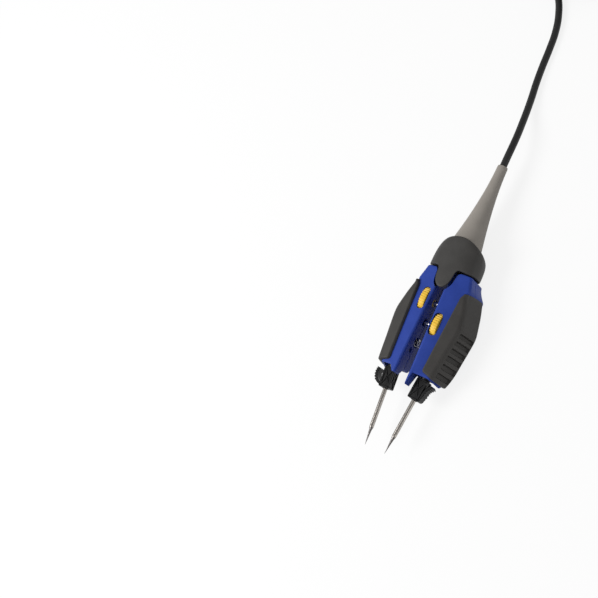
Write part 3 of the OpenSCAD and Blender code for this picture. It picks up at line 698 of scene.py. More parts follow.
@dataclass
class Arm:
    """One arm: moulded shells with their openings, and the grip round the outer side."""

    side: Side
    lobe_len: float
    lobe_in: float
    lobe_out: float
    dial_at: float
    guest_at: float
    guest_half: float
    guest_tall: float
    sight: bool
    edge_r: float = 0.8
    seam: float = 0.22
    split: float = 0.03
    steps: int = 8
    wall_reach: float = 8.7
    shaft_hole_r: float = 2.25
    spring_hole_r: float = 2.875
    slot_r: float = 2.4
    slot_half: float = 4.0
    screw_hole_r: float = 2.0
    screws: tuple[tuple[float, float], ...] = ((12.7, 77.75), (10.83, 90.0))
    grip_gap: float = 0.06
    grip_top_t: float = 1.8
    groove_depth: float = 1.6
    groove_pitch: float = 4.3
    groove_count: int = 6

    def stations(self, fine: int = 5) -> tuple[Array, Array]:
        """Stations of the shells and how far the skin draws in at each for the rounded ends."""
        a = np.linspace(0, math.pi / 2, fine)
        front = FORM.arm_at + self.edge_r * (1 - np.cos(a))
        back = FORM.arm_end - self.edge_r * (1 - np.cos(a[::-1]))
        t = np.concatenate([front, np.linspace(front[-1], back[0], 74)[1:-1], back])
        near = np.minimum(t - FORM.arm_at, FORM.arm_end - t)
        left = np.clip(self.edge_r - near, 0, self.edge_r)
        return t, self.edge_r - np.sqrt(self.edge_r**2 - left**2)

    def half_section(self, a: Array, b: Array, z: float, up: float, inner: Array, outer: Array) -> Array:
        """Half section of a shell, from its lip at the gap round two corners to its outer lip.

        Args:
            a: Inner wall at the parting line.
            b: Outer side at the parting line.
            z: Height of the parting line.
            up: 1 for the upper shell and -1 for the lower one.
            inner: Rounded corner next to the gap.
            outer: Rounded corner at the outer side.

        Returns:
            Array of stations by points by 2.
        """
        s = self.seam
        first, last = pair(a, z + up * s), pair(b, z + up * s)
        runs = [
            pair(a + s, z)[:, None],
            straight(first, inner[:, 0], 6),
            inner[:, :-1],
            straight(inner[:, -1], outer[:, 0], 16),
            outer[:, :-1],
            straight(outer[:, -1], last, 6),
            last[:, None],
            pair(b - s, z)[:, None],
        ]
        return np.concatenate(runs, axis=1)

    def upper_path(self, t: Array, draw: Array) -> Array:
        """Upper half section: up the inner wall, over the top and down the outer side."""
        low = FORM.axis_z + self.split
        a, b, side = FORM.inner_x(t) + draw, FORM.shell_x(t) - draw, FORM.flank_x(t, low) - draw
        top, brow = pair(a, FORM.ridge_z(t) - draw), pair(b, FORM.roof_z(t, b) - draw)
        inner = fillet(pair(a, low), top, brow, np.maximum(0.3, 1.2 - draw), self.steps)
        outer = fillet(top, brow, pair(side, low), 2.2 - draw / 2, self.steps + 2)
        return self.half_section(a, side, low, 1.0, inner, outer)

    def lower_path(self, t: Array, draw: Array) -> Array:
        """Lower half section: down the inner wall, along the underside and up the outer side."""
        high, low = FORM.axis_z - self.split, FORM.keel_z(t) + draw
        a, b, side = FORM.inner_x(t) + draw, FORM.flank_x(t, low) - draw, FORM.flank_x(t, high) - draw
        keel, heel = pair(a, low), pair(b, low)
        inner = fillet(pair(a, high), keel, heel, np.maximum(0.3, 1.4 - draw), self.steps)
        outer = fillet(keel, heel, pair(side, high), 3.0 - draw, self.steps + 2)
        return self.half_section(a, side, high, -1.0, inner, outer)

    def hollow(self, outer: Array, inner: Array, t: Array, lobe: float) -> Shape:
        """Closed shell between two skins.

        The front edge is carried forwards by the lobe next to the inner wall and by the grip's sweep at
        the outer side; the shift fades out over the first eight millimetres.

        Args:
            outer: Outer skin, stations by points by 2.
            inner: Inner skin of the same shape.
            t: Stations.
            lobe: Length of the lobe.

        Returns:
            Points and faces.
        """
        ring = np.concatenate([outer, inner[:, ::-1]], axis=1)
        x, z = ring[..., 0], ring[..., 1]
        reach = x - FORM.inner_x(t)[:, None]
        forward = lobe * (1 - ease(self.lobe_in, self.lobe_out, reach)) * ease(11.6, 14.0, z)
        forward = forward + FORM.grip_sweep * ease(13.0, 19.5, x)
        y = FORM.along(t)[:, None] - forward * (1 - ease(FORM.arm_at, FORM.arm_at + 8, t))[:, None]
        return loft(np.stack([x, y, z], -1), Ends.STRIP)

    def wall_cutters(self) -> list[Shape]:
        """Openings of the inner wall: dial shaft, spring and the other arm's shaft."""
        dial_y, spring_y, y = (FORM.along(v) for v in (self.dial_at, FORM.spring_at, self.guest_at))
        z, x, half, tall = FORM.dial_z, self.wall_reach, self.guest_half, self.guest_tall
        window = np.array([[0, y - half], [x, y - half], [x, y + half], [0, y + half]])
        return [
            bar((0, dial_y, z), (6.0, dial_y, z), self.shaft_hole_r),
            bar((0, spring_y, FORM.axis_z), (x, spring_y, FORM.axis_z), self.spring_hole_r),
            prism(window, z - tall, z + tall),
        ]

    def dial_cutters(self) -> list[Shape]:
        """Room for the wheel below the top, and the slot with round ends in the top itself."""
        y, half, ceiling = FORM.along(self.dial_at), FORM.dial_w / 2 + 0.45, 19.3
        ends = [(FORM.dial_x + x, y, FORM.dial_z) for x in (-half, half)]
        verts, faces = bar(*ends, FORM.dial_r + 0.6, 96)
        verts[:, 2] = np.minimum(verts[:, 2], ceiling)
        a = np.linspace(0, 2 * math.pi, 64, endpoint=False)
        plan = self.slot_r * np.stack([np.cos(a), np.sin(a)], -1) + [FORM.dial_x, y]
        plan[:, 1] += self.slot_half * np.sign(np.sin(a) + 1e-9)
        return [(verts, faces), prism(plan, 16.0, 26.0)]

    def tongue_cutter(self) -> Shape:
        """Room for the collar's tongue: its edge moved forwards and outwards by the arm's travel."""
        travel, half = 1.0, 8.4
        x = np.linspace(-half, half, 61)
        nearer = np.sign(x) * np.maximum(0, np.abs(x) - travel)
        front = FORM.along(FORM.tongue_front(nearer) - travel)
        back = np.full_like(x, FORM.along(FORM.collar_at + 6))
        plan = np.concatenate([np.stack([x, front], -1), np.stack([x, back], -1)[::-1]])
        return prism(plan, 17.5, 26.0)

    def shells(self, shop: Workshop) -> None:
        """Build, cut and dress the two shells."""
        t, draw = self.stations()
        thick = np.full_like(t, FORM.wall)
        upper = self.hollow(self.upper_path(t, draw), self.upper_path(t, thick), t, self.lobe_len)
        lower = self.hollow(self.lower_path(t, draw), self.lower_path(t, thick), t, 0.0)
        word = self.side.word
        top = make(f"{word}_arm_top", mirrored(upper, self.side))
        cutters = [*self.dial_cutters(), self.tongue_cutter(), *self.wall_cutters()]
        if self.sight:
            y, z = FORM.along(FORM.spring_at - 5.2), FORM.axis_z + 2.6
            cutters.append(bar((0, y, z), (6.3, y, z), 1.5))
        carve(top, [mirrored(c, self.side) for c in cutters])
        shop.fit(top, f"{word}_arm", "blue_moulding", "blue_shell", f"{word}_upper_shell")
        base = make(f"{word}_arm_base", mirrored(lower, self.side))
        holes = self.wall_cutters()
        for x, station in self.screws:
            y = FORM.along(station)
            holes.append(bar((x, y, -1.0), (x, y, 1.5), self.screw_hole_r))
        carve(base, [mirrored(c, self.side) for c in holes])
        shop.fit(base, f"{word}_arm", "blue_moulding", "blue_shell", f"{word}_lower_shell")

    def grip_stations(self) -> Array:
        """Stations of the grip, close together at its rounded ends and along its grooves."""
        front, rear, grooved = FORM.grip_front_r, FORM.grip_rear_r, 73.6
        runs = [
            FORM.grip_at + front * (1 - np.cos(np.linspace(0, math.pi / 2, 12)))[:-1],
            np.linspace(FORM.grip_at + front, grooved, 190)[:-1],
            np.linspace(grooved, FORM.grip_end - rear, 34)[:-1],
            FORM.grip_end - rear * (1 - np.sin(np.linspace(0, math.pi / 2, 16))),
        ]
        return np.concatenate(runs)

    def grip_base(self, t: Array, top: int = 14) -> Array:
        """Line of the grip on the shell at each station: over the top, round the brow and down the side.

        Args:
            t: Stations.
            top: Number of steps over the top, before the brow begins.

        Returns:
            Array of stations by points by 2.
        """
        a, b = FORM.grip_edge(t), FORM.shell_x(t) + self.grip_gap
        low = 0.6 * FORM.keel_z(t) + 3.4
        foot = pair(FORM.flank_x(t, low) + self.grip_gap, low)
        head, brow = (pair(x, FORM.roof_z(t, x) + self.grip_gap) for x in (a, b))
        arc = fillet(head, brow, foot, np.minimum(1.5, 0.8 * (b - a)), 14)
        side = straight(arc[:, -1], foot, 34)
        return np.concatenate([straight(head, arc[:, 0], top), arc[:, :-1], side, foot[:, None]], axis=1)

    def grip_shape(self) -> Shape:
        """Grip as a skin that stands off its base line.

        The outer face stands off along the section's normal, a little more on the side than on top, less
        the grooves, with all four edges rounded.
        """
        t = self.grip_stations()
        base = self.grip_base(t)
        run = np.gradient(base, axis=1)
        normal = unit(np.stack([-run[..., 1], run[..., 0]], -1))
        steps = np.linalg.norm(np.diff(base, axis=1), axis=-1)
        travel = np.concatenate([np.zeros((len(t), 1)), np.cumsum(steps, 1)], 1)
        left = travel[:, -1:] - travel
        down = travel - travel[:, 14:15]
        flank = ease(0.0, 2.4, down)
        thick = FORM.outer_x(t) - FORM.shell_x(t)
        level = self.grip_top_t + (thick - self.grip_top_t)[:, None] * flank
        level = level - 0.9 * flank * ease(FORM.grip_end - 9, FORM.grip_end, t)[:, None]
        u = (t - FORM.grip_at - 1.4) / self.groove_pitch
        wave = np.where((u > 0) & (u < self.groove_count), 0.5 - 0.5 * np.cos(2 * math.pi * u), 0.0)
        groove = (ease(0.34, 0.58, wave) * self.groove_depth)[:, None] * ease(1.6, 2.6, down)
        groove = groove * ease(0.6, 2.0, left)
        ends = np.minimum(t - FORM.grip_at, FORM.grip_end - t)[:, None]
        edge = np.minimum(np.minimum(travel, left), ends)
        round_off = np.sqrt(1 - (1 - np.clip(edge / self.edge_r, 0, 1)) ** 2)
        skin = base + normal * ((level - groove) * (0.06 + 0.94 * round_off))[..., None]
        ring = np.concatenate([skin, base[:, ::-1]], axis=1)
        both = np.concatenate([down, down[:, ::-1]], axis=1)
        tail = 1.4 * ease(-1.0, 5.0, both) * ease(FORM.grip_end - 12, FORM.grip_end, t)[:, None]
        y = FORM.along(t)[:, None] - FORM.sweep(t[:, None], ring[..., 0]) + tail
        return loft(np.stack([ring[..., 0], y, ring[..., 1]], -1), Ends.STRIP)

    def grip(self, shop: Workshop) -> None:
        """Build and dress the grip."""
        word = self.side.word
        piece = make(f"{word}_finger_grip", mirrored(self.grip_shape(), self.side), 48.0)
        shop.fit(piece, f"{word}_arm", "soft_grip", "black_grip", f"{word}_grip")

    def inside(self, shop: Workshop) -> None:
        """Dress the pieces inside the arm, which stay as the CAD has them."""
        finishes = {"arm_frame": "black_moulding", "tip_socket": "insulator", "contacts": "turned_brass",
                    "leads": "wire_jacket", "arm_screws": "drawn_steel"}
        for node, finish in finishes.items():
            shop.dress(finish, f"{self.side.word}_{node}")

    def build(self, shop: Workshop) -> None:
        """Make the whole arm."""
        self.shells(shop)
        self.grip(shop)
        self.inside(shop)


@dataclass
class Dial:
    """Toothed thumb wheel with a journal on each side."""

    side: Side
    station: float
    bore: float
    teeth: int = 36
    tooth: float = 0.42
    bevel: float = 0.35

    def build(self, shop: Workshop) -> None:
        """Wheel as rings across its width; the radius waves once for each tooth."""
        n = self.teeth * 12
        a = np.linspace(0, 2 * math.pi, n, endpoint=False)
        rim = FORM.dial_r - self.tooth * (1 - ease(-0.55, 0.35, np.cos(self.teeth * a)))
        half, dish, bevel = FORM.dial_w / 2, 0.25, self.bevel
        inside = [(0.0, 2.1), (0.0, 5.9), (dish, 6.2), (dish, 6.9), (0.0, 7.2)]
        toothed = [(0.0, -bevel), (bevel * 0.4, -bevel * 0.3), (bevel, 0.0)]
        across = [(x - half, np.full(n, r)) for x, r in inside]
        across += [(x - half, r + rim) for x, r in toothed]
        across += [(-x, r) for x, r in across[::-1]]
        centre = np.array([FORM.dial_x, FORM.along(self.station), FORM.dial_z])
        rings = [centre + np.stack([np.full(n, x), r * np.cos(a), r * np.sin(a)], -1) for x, r in across]
        wheel = loft(np.stack(rings), Ends.LOOP)
        start, end, r = FORM.inner_x(self.station) + 0.2, 13.9, 2.2
        profile = [(self.bore, 0), (r, 0), (r, end - start), (self.bore, end - start)]
        origin = np.array([start, centre[1], centre[2]])
        shaft = revolve(rounded(profile, 0.3), 48, origin, np.array([1.0, 0, 0]), ring=True)
        word = self.side.word
        piece = make(f"{word}_thumb_wheel", mirrored(join(wheel, shaft), self.side), 42.0)
        shop.fit(piece, f"{word}_dial", "yellow_moulding", "yellow_dial", f"{word}_dial")


@dataclass
class Tip:
    """One tip cartridge: holder, rod and needle on the leaning axis."""

    side: Side
    rod_r: float = 1.2
    rod_len: float = 22.9
    needle_len: float = 9.7
    block_at: float = -0.9
    tab_knots: tuple[tuple[float, float], ...] = (
        (2.3, 0.7), (3.6, 0.8), (5.5, 2.1), (6.8, 4.4), (7.1, 6.8), (6.7, 8.9))

    def frame(self) -> tuple[Array, Array]:
        """Front of the holder on the rod's axis, and the axis towards the cord."""
        lean = math.atan(FORM.lean)
        axis = np.array([math.sin(lean), math.cos(lean), 0.0])
        return np.array([FORM.rod_x(FORM.holder_at), FORM.along(FORM.holder_at), FORM.axis_z]), axis

    def body(self) -> Shape:
        """Block of the holder: a core with a raised frame and crossed ribs on each side."""
        core, face, edge, end = 2.8, 3.2, 2.75, 10.8
        ring = rounded_box(-core, core, -core, core, 0.5, 3)
        rows = [(0.9, self.block_at), (1.0, self.block_at + 0.3), (1.0, end - 0.35), (0.88, end)]
        parts = [loft(np.stack([np.insert(ring * k, 1, u, axis=1) for k, u in rows]))]
        for c, k in ((1, 0), (0, 1), (-1, 0), (0, -1)):
            up, across = np.array([c, 0, k]), np.array([-k, 0, c])
            low, high = ([up * face + across * x + [0, u, 0] for u in (self.block_at + 0.5, end - 0.5)]
                         for x in (edge, -edge))
            crossed = [(low[i], high[j]) for i, j in ((0, 0), (1, 1), (0, 1), (1, 0))]
            parts += [strut(p, q, up, 0.85, 1.0) for p, q in (low, high, *crossed)]
        return join(*parts)

    def tab(self) -> Shape:
        """Finger tab: a plate that bends away from the block's front corner, ribbed near its free end."""
        path = through(np.array(self.tab_knots), 24)
        ahead = unit(np.gradient(path, axis=0))
        out = np.stack([ahead[:, 1], -ahead[:, 0]], -1)
        s = np.linspace(0, 1, len(path))
        half, tall = 0.7, 2.7
        skin = half + 0.38 * ease(-0.35, 0.35, np.cos(18 * math.pi * s)) * ease(0.30, 0.40, s)
        offsets = [(-half, -tall), (skin - 0.25, -tall), (skin, -tall + 0.3), (skin, tall - 0.3),
                   (skin - 0.25, tall), (-half + 0.2, tall), (-half, tall - 0.25)]
        rings = [np.column_stack([path + out * np.broadcast_to(d, s.shape)[:, None], np.full_like(s, z)])
                 for d, z in offsets]
        return loft(np.stack(rings, 1))

    def holder(self, shop: Workshop) -> None:
        """Holder: block, tab, front lip and the sleeve that enters the arm."""
        word = self.side.word
        origin, axis = self.frame()
        across = np.array([axis[1], -axis[0], 0.0])
        verts, faces = join(self.body(), self.tab())
        turned = origin + verts @ np.array([across, axis, [0.0, 0.0, 1.0]])
        hole = self.rod_r + 0.04
        lip = rounded([(hole, -1.2), (1.75, -1.2), (2.0, -0.9), (2.0, -0.4), (hole, -0.4)], 0.15)
        sleeve = [(hole, 10.7), (2.75, 10.7), (2.8, 10.8), (2.8, 19.6), (2.5, 19.9), (hole, 19.9)]
        rings = [revolve(profile, 48, origin, axis) for profile in (lip, sleeve)]
        shape = mirrored(join((turned, faces), *rings), self.side)
        piece = make(f"{word}_cartridge_holder", shape, 32.0)
        shop.fit(piece, f"{word}_tip", "black_moulding", "black_moulding", f"{word}_tip_holder")

    def build(self, shop: Workshop) -> None:
        """Make the holder and turn the rod and the needle."""
        self.holder(shop)
        word = self.side.word
        origin, axis = self.frame()
        r, length = self.rod_r, self.rod_len
        neck, end = r - 0.07, 28.6
        rod = rounded([(0.01, -length), (r - 0.1, -length), (r, -length + 0.35), (r, -length + 1.5),
                       (neck, -length + 1.6), (neck, -length + 1.8), (r, -length + 1.9), (r, end),
                       (0.01, end)], 0.12)
        piece = make(f"{word}_heater_rod", mirrored(revolve(rod, 64, origin, axis), self.side))
        shop.fit(piece, f"{word}_tip", "drawn_steel", "steel", f"{word}_tip_rod")
        tip = -length - self.needle_len
        u = np.linspace(0, 1, 30)
        taper = [(0.10 + 0.66 * (1 - k) ** 1.1, -length - 1.5 + (tip + length + 1.57) * k) for k in u]
        needle = [(0.01, -length), (r - 0.12, -length), (r - 0.14, -length - 0.35), (0.84, -length - 1.0),
                  *taper, (0.05, tip + 0.02), (0.01, tip)]
        point = make(f"{word}_needle_point", mirrored(revolve(needle, 48, origin, axis), self.side))
        shop.fit(point, f"{word}_tip", "tip_plating", "tip_plating", f"{word}_tip_needle")


@dataclass
class Handle:
    """Collar, strain relief and what the arms hang on."""

    half_w: float = 14.5
    rear_half_w: float = 11.3
    rise: float = FORM.collar_rise
    drop: float = 11.3
    rear_rise: float = 9.6
    wall: float = 1.6
    shoulder_at: float = 104.0
    screw_at: float = 114.5
    screw_x: float = 3.4
    relief_len: float = 47.0
    relief_base_r: float = 9.2
    relief_end_r: float = 2.9

    def section(self, t: Array, angle: Array, inset: Any) -> Array:
        """Rounded oval of the collar.

        Args:
            t: Stations, of any shape that fits the angles.
            angle: Angles round the section.
            inset: Distance inwards from the outer face.

        Returns:
            Array of [x, z].
        """
        fall = np.maximum(0, (t - self.shoulder_at) / (FORM.relief_at - self.shoulder_at))
        s = np.sqrt(np.clip(1 - fall**2.8, 0, 1))
        w = self.rear_half_w + (self.half_w - self.rear_half_w) * s - inset
        up = self.rear_rise + (self.rise - self.rear_rise) * s - inset
        down = self.rear_rise + (self.drop - self.rear_rise) * s - inset
        power = 2 / (2.1 + 0.3 * s)
        c, k = np.cos(angle), np.sin(angle)
        x = w * np.sign(c) * np.abs(c) ** power
        z = FORM.axis_z + np.where(k > 0, up, down) * np.sign(k) * np.abs(k) ** power
        return np.stack([x, z], -1)

    def collar(self, shop: Workshop) -> None:
        """Collar: rows run from the wavy front edge to the rear, out over the skin and back inside."""
        n = 360
        angle = np.linspace(0, 2 * math.pi, n, endpoint=False)
        plan = self.section(np.full(n, FORM.collar_at), angle, 0.0)
        edge = np.where(np.sin(angle) > 0.3, FORM.tongue_front(plan[:, 0]), FORM.collar_at)
        front_r, rear_r = 0.6, 1.1
        shoulder, end = self.shoulder_at, FORM.relief_at - rear_r
        q = np.linspace(0, math.pi / 2, 6)
        skin = np.linspace(0, 1, 10)[1:]
        lining = np.linspace(0, 1, 8)[1:]
        dome = shoulder + (end - shoulder) * np.sin(np.linspace(0, math.pi / 2, 18))[1:]
        rows = [(edge + front_r * (1 - np.cos(v)), front_r * (1 - np.sin(v))) for v in q]
        rows += [(edge + front_r + (shoulder - edge - front_r) * v, 0.0) for v in skin]
        rows += [(np.full(n, t), 0.0) for t in dome]
        rows += [(np.full(n, end + rear_r * math.sin(v)), rear_r * (1 - math.cos(v))) for v in q[1:]]
        rows += [(np.full(n, t), self.wall) for t in np.linspace(FORM.relief_at, shoulder, 10)]
        rows += [(shoulder + (edge - shoulder) * v, self.wall) for v in lining]
        rings = []
        for t, inset in rows:
            x, z = self.section(np.maximum(t, 0), angle, inset).T
            share = np.maximum(0, (t - shoulder) / (FORM.relief_at - shoulder))
            rings.append(np.stack([x, FORM.along(t) - share * FORM.rim_shift(z), z], -1))
        piece = make("collar_cover", loft(np.stack(rings), Ends.LOOP), 40.0)
        y = FORM.along(self.screw_at)
        holes = [bar((x, y, -1.0), (x, y, 1.4), 2.0) for x in (-self.screw_x, self.screw_x)]
        carve(piece, holes, 40.0)
        shop.fit(piece, "handle", "collar_moulding", "collar_plastic", "collar")

    def relief(self, shop: Workshop) -> None:
        """Strain relief: the radius falls by a power of the distance, with a lip at each end."""
        u = np.linspace(0, 1, 60)
        r = self.relief_end_r + (self.relief_base_r - self.relief_end_r) * (1 - u) ** 1.9
        end = self.relief_len
        flank = np.stack([r, 0.15 + (end - 0.15) * u, (1 - u) ** 3], -1)
        base, neck, mouth = self.relief_base_r - 0.3, 6.6, end - 1.2
        head = [(0.01, -3.0, 0.0), (neck, -3.0, 0.0), (neck, -2.8, 0.0), (base, 0.15, 1.0)]
        lip = self.relief_end_r - 0.12
        tail = [(lip, end - 0.02, 0.0), (2.3, end, 0.0), (2.1, mouth, 0.0), (0.01, mouth, 0.0)]
        rows = np.vstack([head, flank[:-1], tail])
        a = np.linspace(0, 2 * math.pi, 96, endpoint=False)[None, :]
        z = FORM.axis_z + rows[:, :1] * np.sin(a)
        y = FORM.along(FORM.relief_at) + rows[:, 1:2] - rows[:, 2:] * FORM.rim_shift(z)
        piece = make("cord_relief", loft(np.stack([rows[:, :1] * np.cos(a), y, z], -1)))
        shop.fit(piece, "handle", "silicone", "grey_silicone", "strain_relief")

    def spring(self, shop: Workshop) -> None:
        """Return spring: a helix whose pitch closes at both ends; each arm presses its half."""
        turns, coil_r, wire_r, nest_r, play = 8.0, 1.95, 0.27, 3.6, 0.5
        half = FORM.rod_x(FORM.spring_at) - nest_r - play
        s = np.linspace(0, 1, 361)
        a = 2 * math.pi * turns * s
        pitch = s - 0.35 * np.sin(2 * math.pi * s) / (2 * math.pi)
        middle = np.array([0.0, FORM.along(FORM.spring_at), FORM.axis_z])
        path = middle + np.stack([half * (2 * pitch - 1), coil_r * np.cos(a), coil_r * np.sin(a)], -1)
        cut = len(s) // 2
        for word, part in (("left", path[: cut + 1]), ("right", path[cut:])):
            piece = make(f"{word}_return_coil", tube(part, wire_r, 12))
            shop.fit(piece, "handle", "nickel", "steel", "return_spring")
            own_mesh(piece)

    def build(self, shop: Workshop) -> None:
        """Make the handle."""
        self.collar(shop)
        self.relief(shop)
        self.spring(shop)
        shop.dress("black_moulding", "core_frame")
        shop.dress("drawn_steel", "hinge_pins", "collar_screws")
        shop.dress("nickel", "eccentric_pin", "stop_screw")


@dataclass
class Lead:
    """Cord with its coil and tie, and the plug on its end."""

    radius: float = 2.0
    coil_at: tuple[float, float] = (-6.0, 224.0)
    plug_at: tuple[float, float, float] = (-26.0, 256.0, 8.0)

    def route(self) -> Array:
        """Middle of the cord: the run, the turns of the coil and the tail, as one line."""
        run = np.array([
            [0, 84, 11.5], [0, 90, 11.5], [-0.5, 98, 10.4], [-1.5, 106, 8.6], [-3, 114, 6.4],
            [-4.5, 122, 4.4], [-6, 131, 3], [-7.5, 141, 2.4], [-8.5, 152, 2.1], [-9, 163, 2.1],
            [-10, 174, 2.1], [-13, 186, 2.1], [-18, 197, 2.3]])
        laps, first, last, crossing = 8, 226, 168, 5
        angle = np.radians(first - np.linspace(0, 1, laps * 18) * (laps * 360 + first - last))
        lap = (np.radians(first) - angle) / (2 * math.pi)
        radii = [26, 22, 18, 18, 22, 26, 18, 22, 26, 26]
        layout = np.column_stack([radii, np.repeat([2.7, 6.7, 10.6], [3, 3, 4])])
        k = np.minimum(lap.astype(int), laps)
        step = ease(0.72, 1.0, lap - k)[:, None]
        r, z = (layout[k] * (1 - step) + layout[k + 1] * step).T
        z = z + np.where(k == crossing, 8.0 * step[:, 0] * (1 - step[:, 0]), 0.0)
        coil = np.stack([self.coil_at[0] + r * np.cos(angle), self.coil_at[1] + r * np.sin(angle), z], -1)
        tail = np.array([
            [-28, 244, 10.2], [-27.6, 247.5, 9.6], [-26.5, 251, 8.4], [-26, 253.5, 8], [-26, 255.95, 8]])
        return np.vstack([run, coil, tail])

    def cord(self, shop: Workshop) -> None:
        """Cord as one open curve through the route."""
        points = self.route() * MM
        curve = bpy.data.curves.new("lead_cord", "CURVE")
        curve.dimensions = "3D"
        curve.bevel_depth = self.radius * MM
        curve.bevel_resolution = 6
        curve.resolution_u = 6
        curve.use_fill_caps = True
        line = curve.splines.new("BEZIER")
        line.bezier_points.add(len(points) - 1)
        line.bezier_points.foreach_set("co", points.ravel())
        for knot in line.bezier_points:
            knot.handle_left_type = "AUTO"
            knot.handle_right_type = "AUTO"
        piece = bpy.data.objects.new("lead_cord", curve)
        bpy.context.scene.collection.objects.link(piece)
        shop.fit(piece, "handle", "cord_jacket", "cord_jacket", "cord_run", "cord_coil", "cord_tail")

    def plug(self, shop: Workshop) -> list[bpy.types.Object]:
        """Plug: boot with rings, ribbed body and metal shell, all turned."""
        origin, axis = np.array(self.plug_at), np.array([0.0, 1.0, 0.0])
        boot = [(0.01, 0.0), (2.5, 0.0), (2.75, 0.4)]
        for i in range(5):
            at, r = 1.8 + 2.3 * i, 2.95 + 0.45 * i
            boot += [(r, at), (r - 0.3, at + 0.25), (r - 0.3, at + 0.8), (r + 0.15, at + 1.05)]
        boot += [(5.3, 13.2), (5.44, 14.0), (0.01, 14.0)]
        body = [(0.01, 14.0), (5.6, 14.0), (6.8, 15.2), (8.0, 17.6)]
        for i in range(5):
            at = 14.0 + 24 * 0.3 + 2.4 * i
            body += [(8.0, at - 0.6), (7.55, at - 0.3), (7.55, at + 0.3), (8.0, at + 0.6)]
        body += [(8.0, 36.8), (6.8, 38.0), (0.01, 38.0)]
        shell = [(6.0, 38.0), (6.6, 38.0), (6.6, 41.0), (6.45, 41.15), (6.45, 41.9), (6.6, 42.05),
                 (6.6, 49.6), (6.3, 50.0), (6.05, 49.8), (6.0, 41.2)]
        turned = [
            ("plug_sleeve", rounded(boot, 0.25), 64, "cord_jacket", "cord_jacket", "plug_boot"),
            ("plug_housing", rounded(body, 0.4), 80, "black_moulding", "black_moulding", "plug_body"),
            ("plug_ring", shell, 80, "nickel", "plug_nickel", "plug_shell"),
        ]
        pieces = []
        for name, profile, steps, finish, slot, node in turned:
            piece = make(name, revolve(profile, steps, origin, axis))
            pieces.append(shop.fit(piece, "handle", finish, slot, node))
        shop.dress("black_moulding", "plug_insert")
        shop.dress("turned_brass", "plug_pins")
        return pieces

    def tie(self, shop: Workshop) -> bpy.types.Object:
        """Tie: a rounded band round the coil's section."""
        x, y = self.coil_at
        half, thick = 2.6, 0.55
        ring = rounded_box(x + 15.0, x + 28.6, 0.0, 13.2, 2.2, 8)
        mid = ring.mean(0)
        inner = mid + (ring - mid) * (1 - 2 * thick / np.ptp(ring, axis=0))
        rows = [(ring, -half), (ring, half), (inner, half), (inner, -half)]
        band = loft(np.stack([np.insert(p, 1, y + v, axis=1) for p, v in rows]), Ends.LOOP)
        piece = make("coil_band", band)
        soften(piece, 0.15)
        return shop.fit(piece, "handle", "black_moulding", "black_moulding", "coil_tie")

    def build(self, shop: Workshop) -> None:
        """Make the plug and the tie, then the cord that carries them."""
        made = [*self.plug(shop), self.tie(shop)]
        self.cord(shop)


# Studio


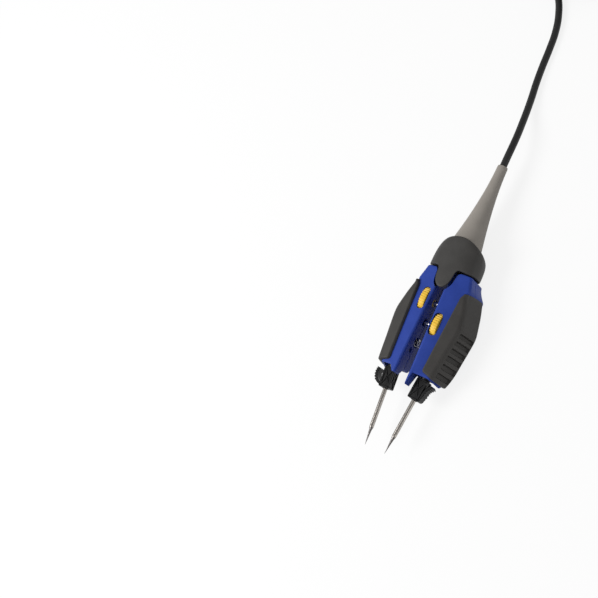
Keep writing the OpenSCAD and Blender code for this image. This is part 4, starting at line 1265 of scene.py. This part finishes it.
@dataclass(frozen=True)
class Studio:
    """Camera, floor and light."""

    azimuth: float = 78.137
    height: float = 53.782
    roll: float = -54.938
    distance: float = 500.0
    offset: tuple[float, float] = (140.74, 5.991)
    focal: float = 935.474
    frame_px: float = 598.0
    target: tuple[float, float, float] = (0.0, 0.0, 12.0)
    sensor: float = 36.0
    sky: float = 0.41
    floor_half: float = 3000.0
    floor_z: float = -0.02
    floor_white: float = 0.84

    def axes(self) -> tuple[Vector, Vector, Vector]:
        """Directions of the picture's right and up, and back towards the camera."""
        a, e, r = (math.radians(v) for v in (self.azimuth, self.height, self.roll))
        back = Vector((math.sin(a) * math.cos(e), -math.cos(a) * math.cos(e), math.sin(e)))
        right = Vector((math.cos(a), math.sin(a), 0.0))
        up = back.cross(right)
        return math.cos(r) * right + math.sin(r) * up, -math.sin(r) * right + math.cos(r) * up, back

    def camera(self) -> None:
        """Camera at the photograph's angle."""
        right, up, back = self.axes()
        scale = self.distance / self.focal
        place = Vector(self.target) + back * self.distance
        place += (up * self.offset[1] - right * self.offset[0]) * scale
        data = bpy.data.cameras.new("camera")
        data.lens = self.focal / self.frame_px * self.sensor
        data.sensor_width = self.sensor
        data.clip_start = 0.01
        data.clip_end = 20.0
        eye = bpy.data.objects.new("camera", data)
        turn = Matrix((right, up, back)).transposed()
        eye.matrix_world = Matrix.Translation(place * MM) @ turn.to_4x4()
        bpy.context.scene.collection.objects.link(eye)
        bpy.context.scene.camera = eye

    def lamp(self, name: str, place: Vector, size: float, power: float) -> None:
        """Square soft light that looks at the tool."""
        data = bpy.data.lights.new(name, "AREA")
        data.size = size
        data.energy = power
        lamp = bpy.data.objects.new(name, data)
        lamp.location = place
        lamp.rotation_euler = (-place).to_track_quat("-Z", "Y").to_euler()
        bpy.context.scene.collection.objects.link(lamp)

    def lights(self) -> None:
        """A broad light from the left arm's side, a weak one from the picture's right and an even sky."""
        right, up, back = self.axes()
        self.lamp("key", Vector((-0.58, -0.42, 0.78)), 0.5, 10.0)
        self.lamp("rim", 0.7 * right - 0.2 * up + 0.45 * back, 0.5, 3.0)
        world = bpy.data.worlds.new("sky")
        world.use_nodes = True
        bpy.context.scene.world = world
        nodes, links = world.node_tree.nodes, world.node_tree.links
        rays = nodes.new("ShaderNodeLightPath")
        seen = nodes.new("ShaderNodeMath")
        seen.operation = "MAXIMUM"
        links.new(rays.outputs["Is Camera Ray"], seen.inputs[0])
        links.new(rays.outputs["Is Transmission Ray"], seen.inputs[1])
        level = nodes.new("ShaderNodeMapRange")
        level.inputs["To Min"].default_value = self.sky
        level.inputs["To Max"].default_value = 1.0
        links.new(seen.outputs[0], level.inputs["Value"])
        links.new(level.outputs["Result"], nodes["Background"].inputs["Strength"])
        nodes["Background"].inputs["Color"].default_value = (1, 1, 1, 1)

    def floor(self) -> None:
        """Pale floor: mostly white to the camera, with a faint shadow left."""
        corners = [(-1, -1), (1, -1), (1, 1), (-1, 1)]
        verts = np.array([[x * self.floor_half, y * self.floor_half, self.floor_z] for x, y in corners])
        piece = make("studio_floor", (verts, [[0, 1, 2, 3]]))
        bench = Bench("white_floor")
        rays = bench.tree.nodes.new("ShaderNodeLightPath")
        seen = Value(bench, rays.outputs["Is Camera Ray"]) + Value(bench, rays.outputs["Is Glossy Ray"])
        matt = bench.node("ShaderNodeBsdfDiffuse", {}, {"Color": (0.86, 0.86, 0.86, 1.0)})
        glow = bench.node("ShaderNodeEmission", {}, {"Color": (1, 1, 1, 1), "Strength": 1.0})
        pale = bench.node("ShaderNodeMixShader", {}, {0: self.floor_white, 1: matt, 2: glow})
        dim = bench.node("ShaderNodeBsdfDiffuse", {}, {"Color": (0.36, 0.36, 0.36, 1.0)})
        bench.close(bench.node("ShaderNodeMixShader", {}, {0: seen.band(0, 1), 1: dim, 2: pale}))
        piece.data.materials.append(bench.material)

    def build(self) -> None:
        """Set up the whole studio."""
        self.camera()
        self.lights()
        self.floor()
        bpy.context.scene.view_settings.view_transform = "Standard"


def clear_scene() -> None:
    """Start from an empty scene."""
    for thing in list(bpy.data.objects):
        bpy.data.objects.remove(thing)


def build_tool(nodes: dict[str, bpy.types.Object]) -> None:
    """Make every sub-assembly in order."""
    shop = Workshop(nodes, Paint())
    Lead().build(shop)
    Handle().build(shop)
    left, right = FORM.left_dial_at, FORM.right_dial_at
    Arm(Side.LEFT, lobe_len=3.2, lobe_in=1.8, lobe_out=4.6, dial_at=left, guest_at=right,
        guest_half=2.06, guest_tall=2.06, sight=True).build(shop)
    Arm(Side.RIGHT, lobe_len=7.2, lobe_in=0.3, lobe_out=2.1, dial_at=right, guest_at=left,
        guest_half=2.27, guest_tall=1.75, sight=False).build(shop)
    Dial(Side.LEFT, left, bore=0.02).build(shop)
    Dial(Side.RIGHT, right, bore=1.4).build(shop)
    Tip(Side.LEFT).build(shop)
    slim = ((2.3, -0.4), (3.3, 0.1), (3.8, 2.6), (4.2, 5.4), (5.0, 7.5), (6.6, 9.1))
    Tip(Side.RIGHT, tab_knots=slim).build(shop)
    LOG.info("%d pieces made", len(shop.pieces))


def main() -> None:
    """Load the frame, set up the studio and build the tool."""
    logging.basicConfig(level=logging.INFO, format="%(name)s: %(message)s")
    clear_scene()
    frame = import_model()
    Studio().build()
    build_tool(frame["nodes"])


if __name__ == "__main__":
    main()
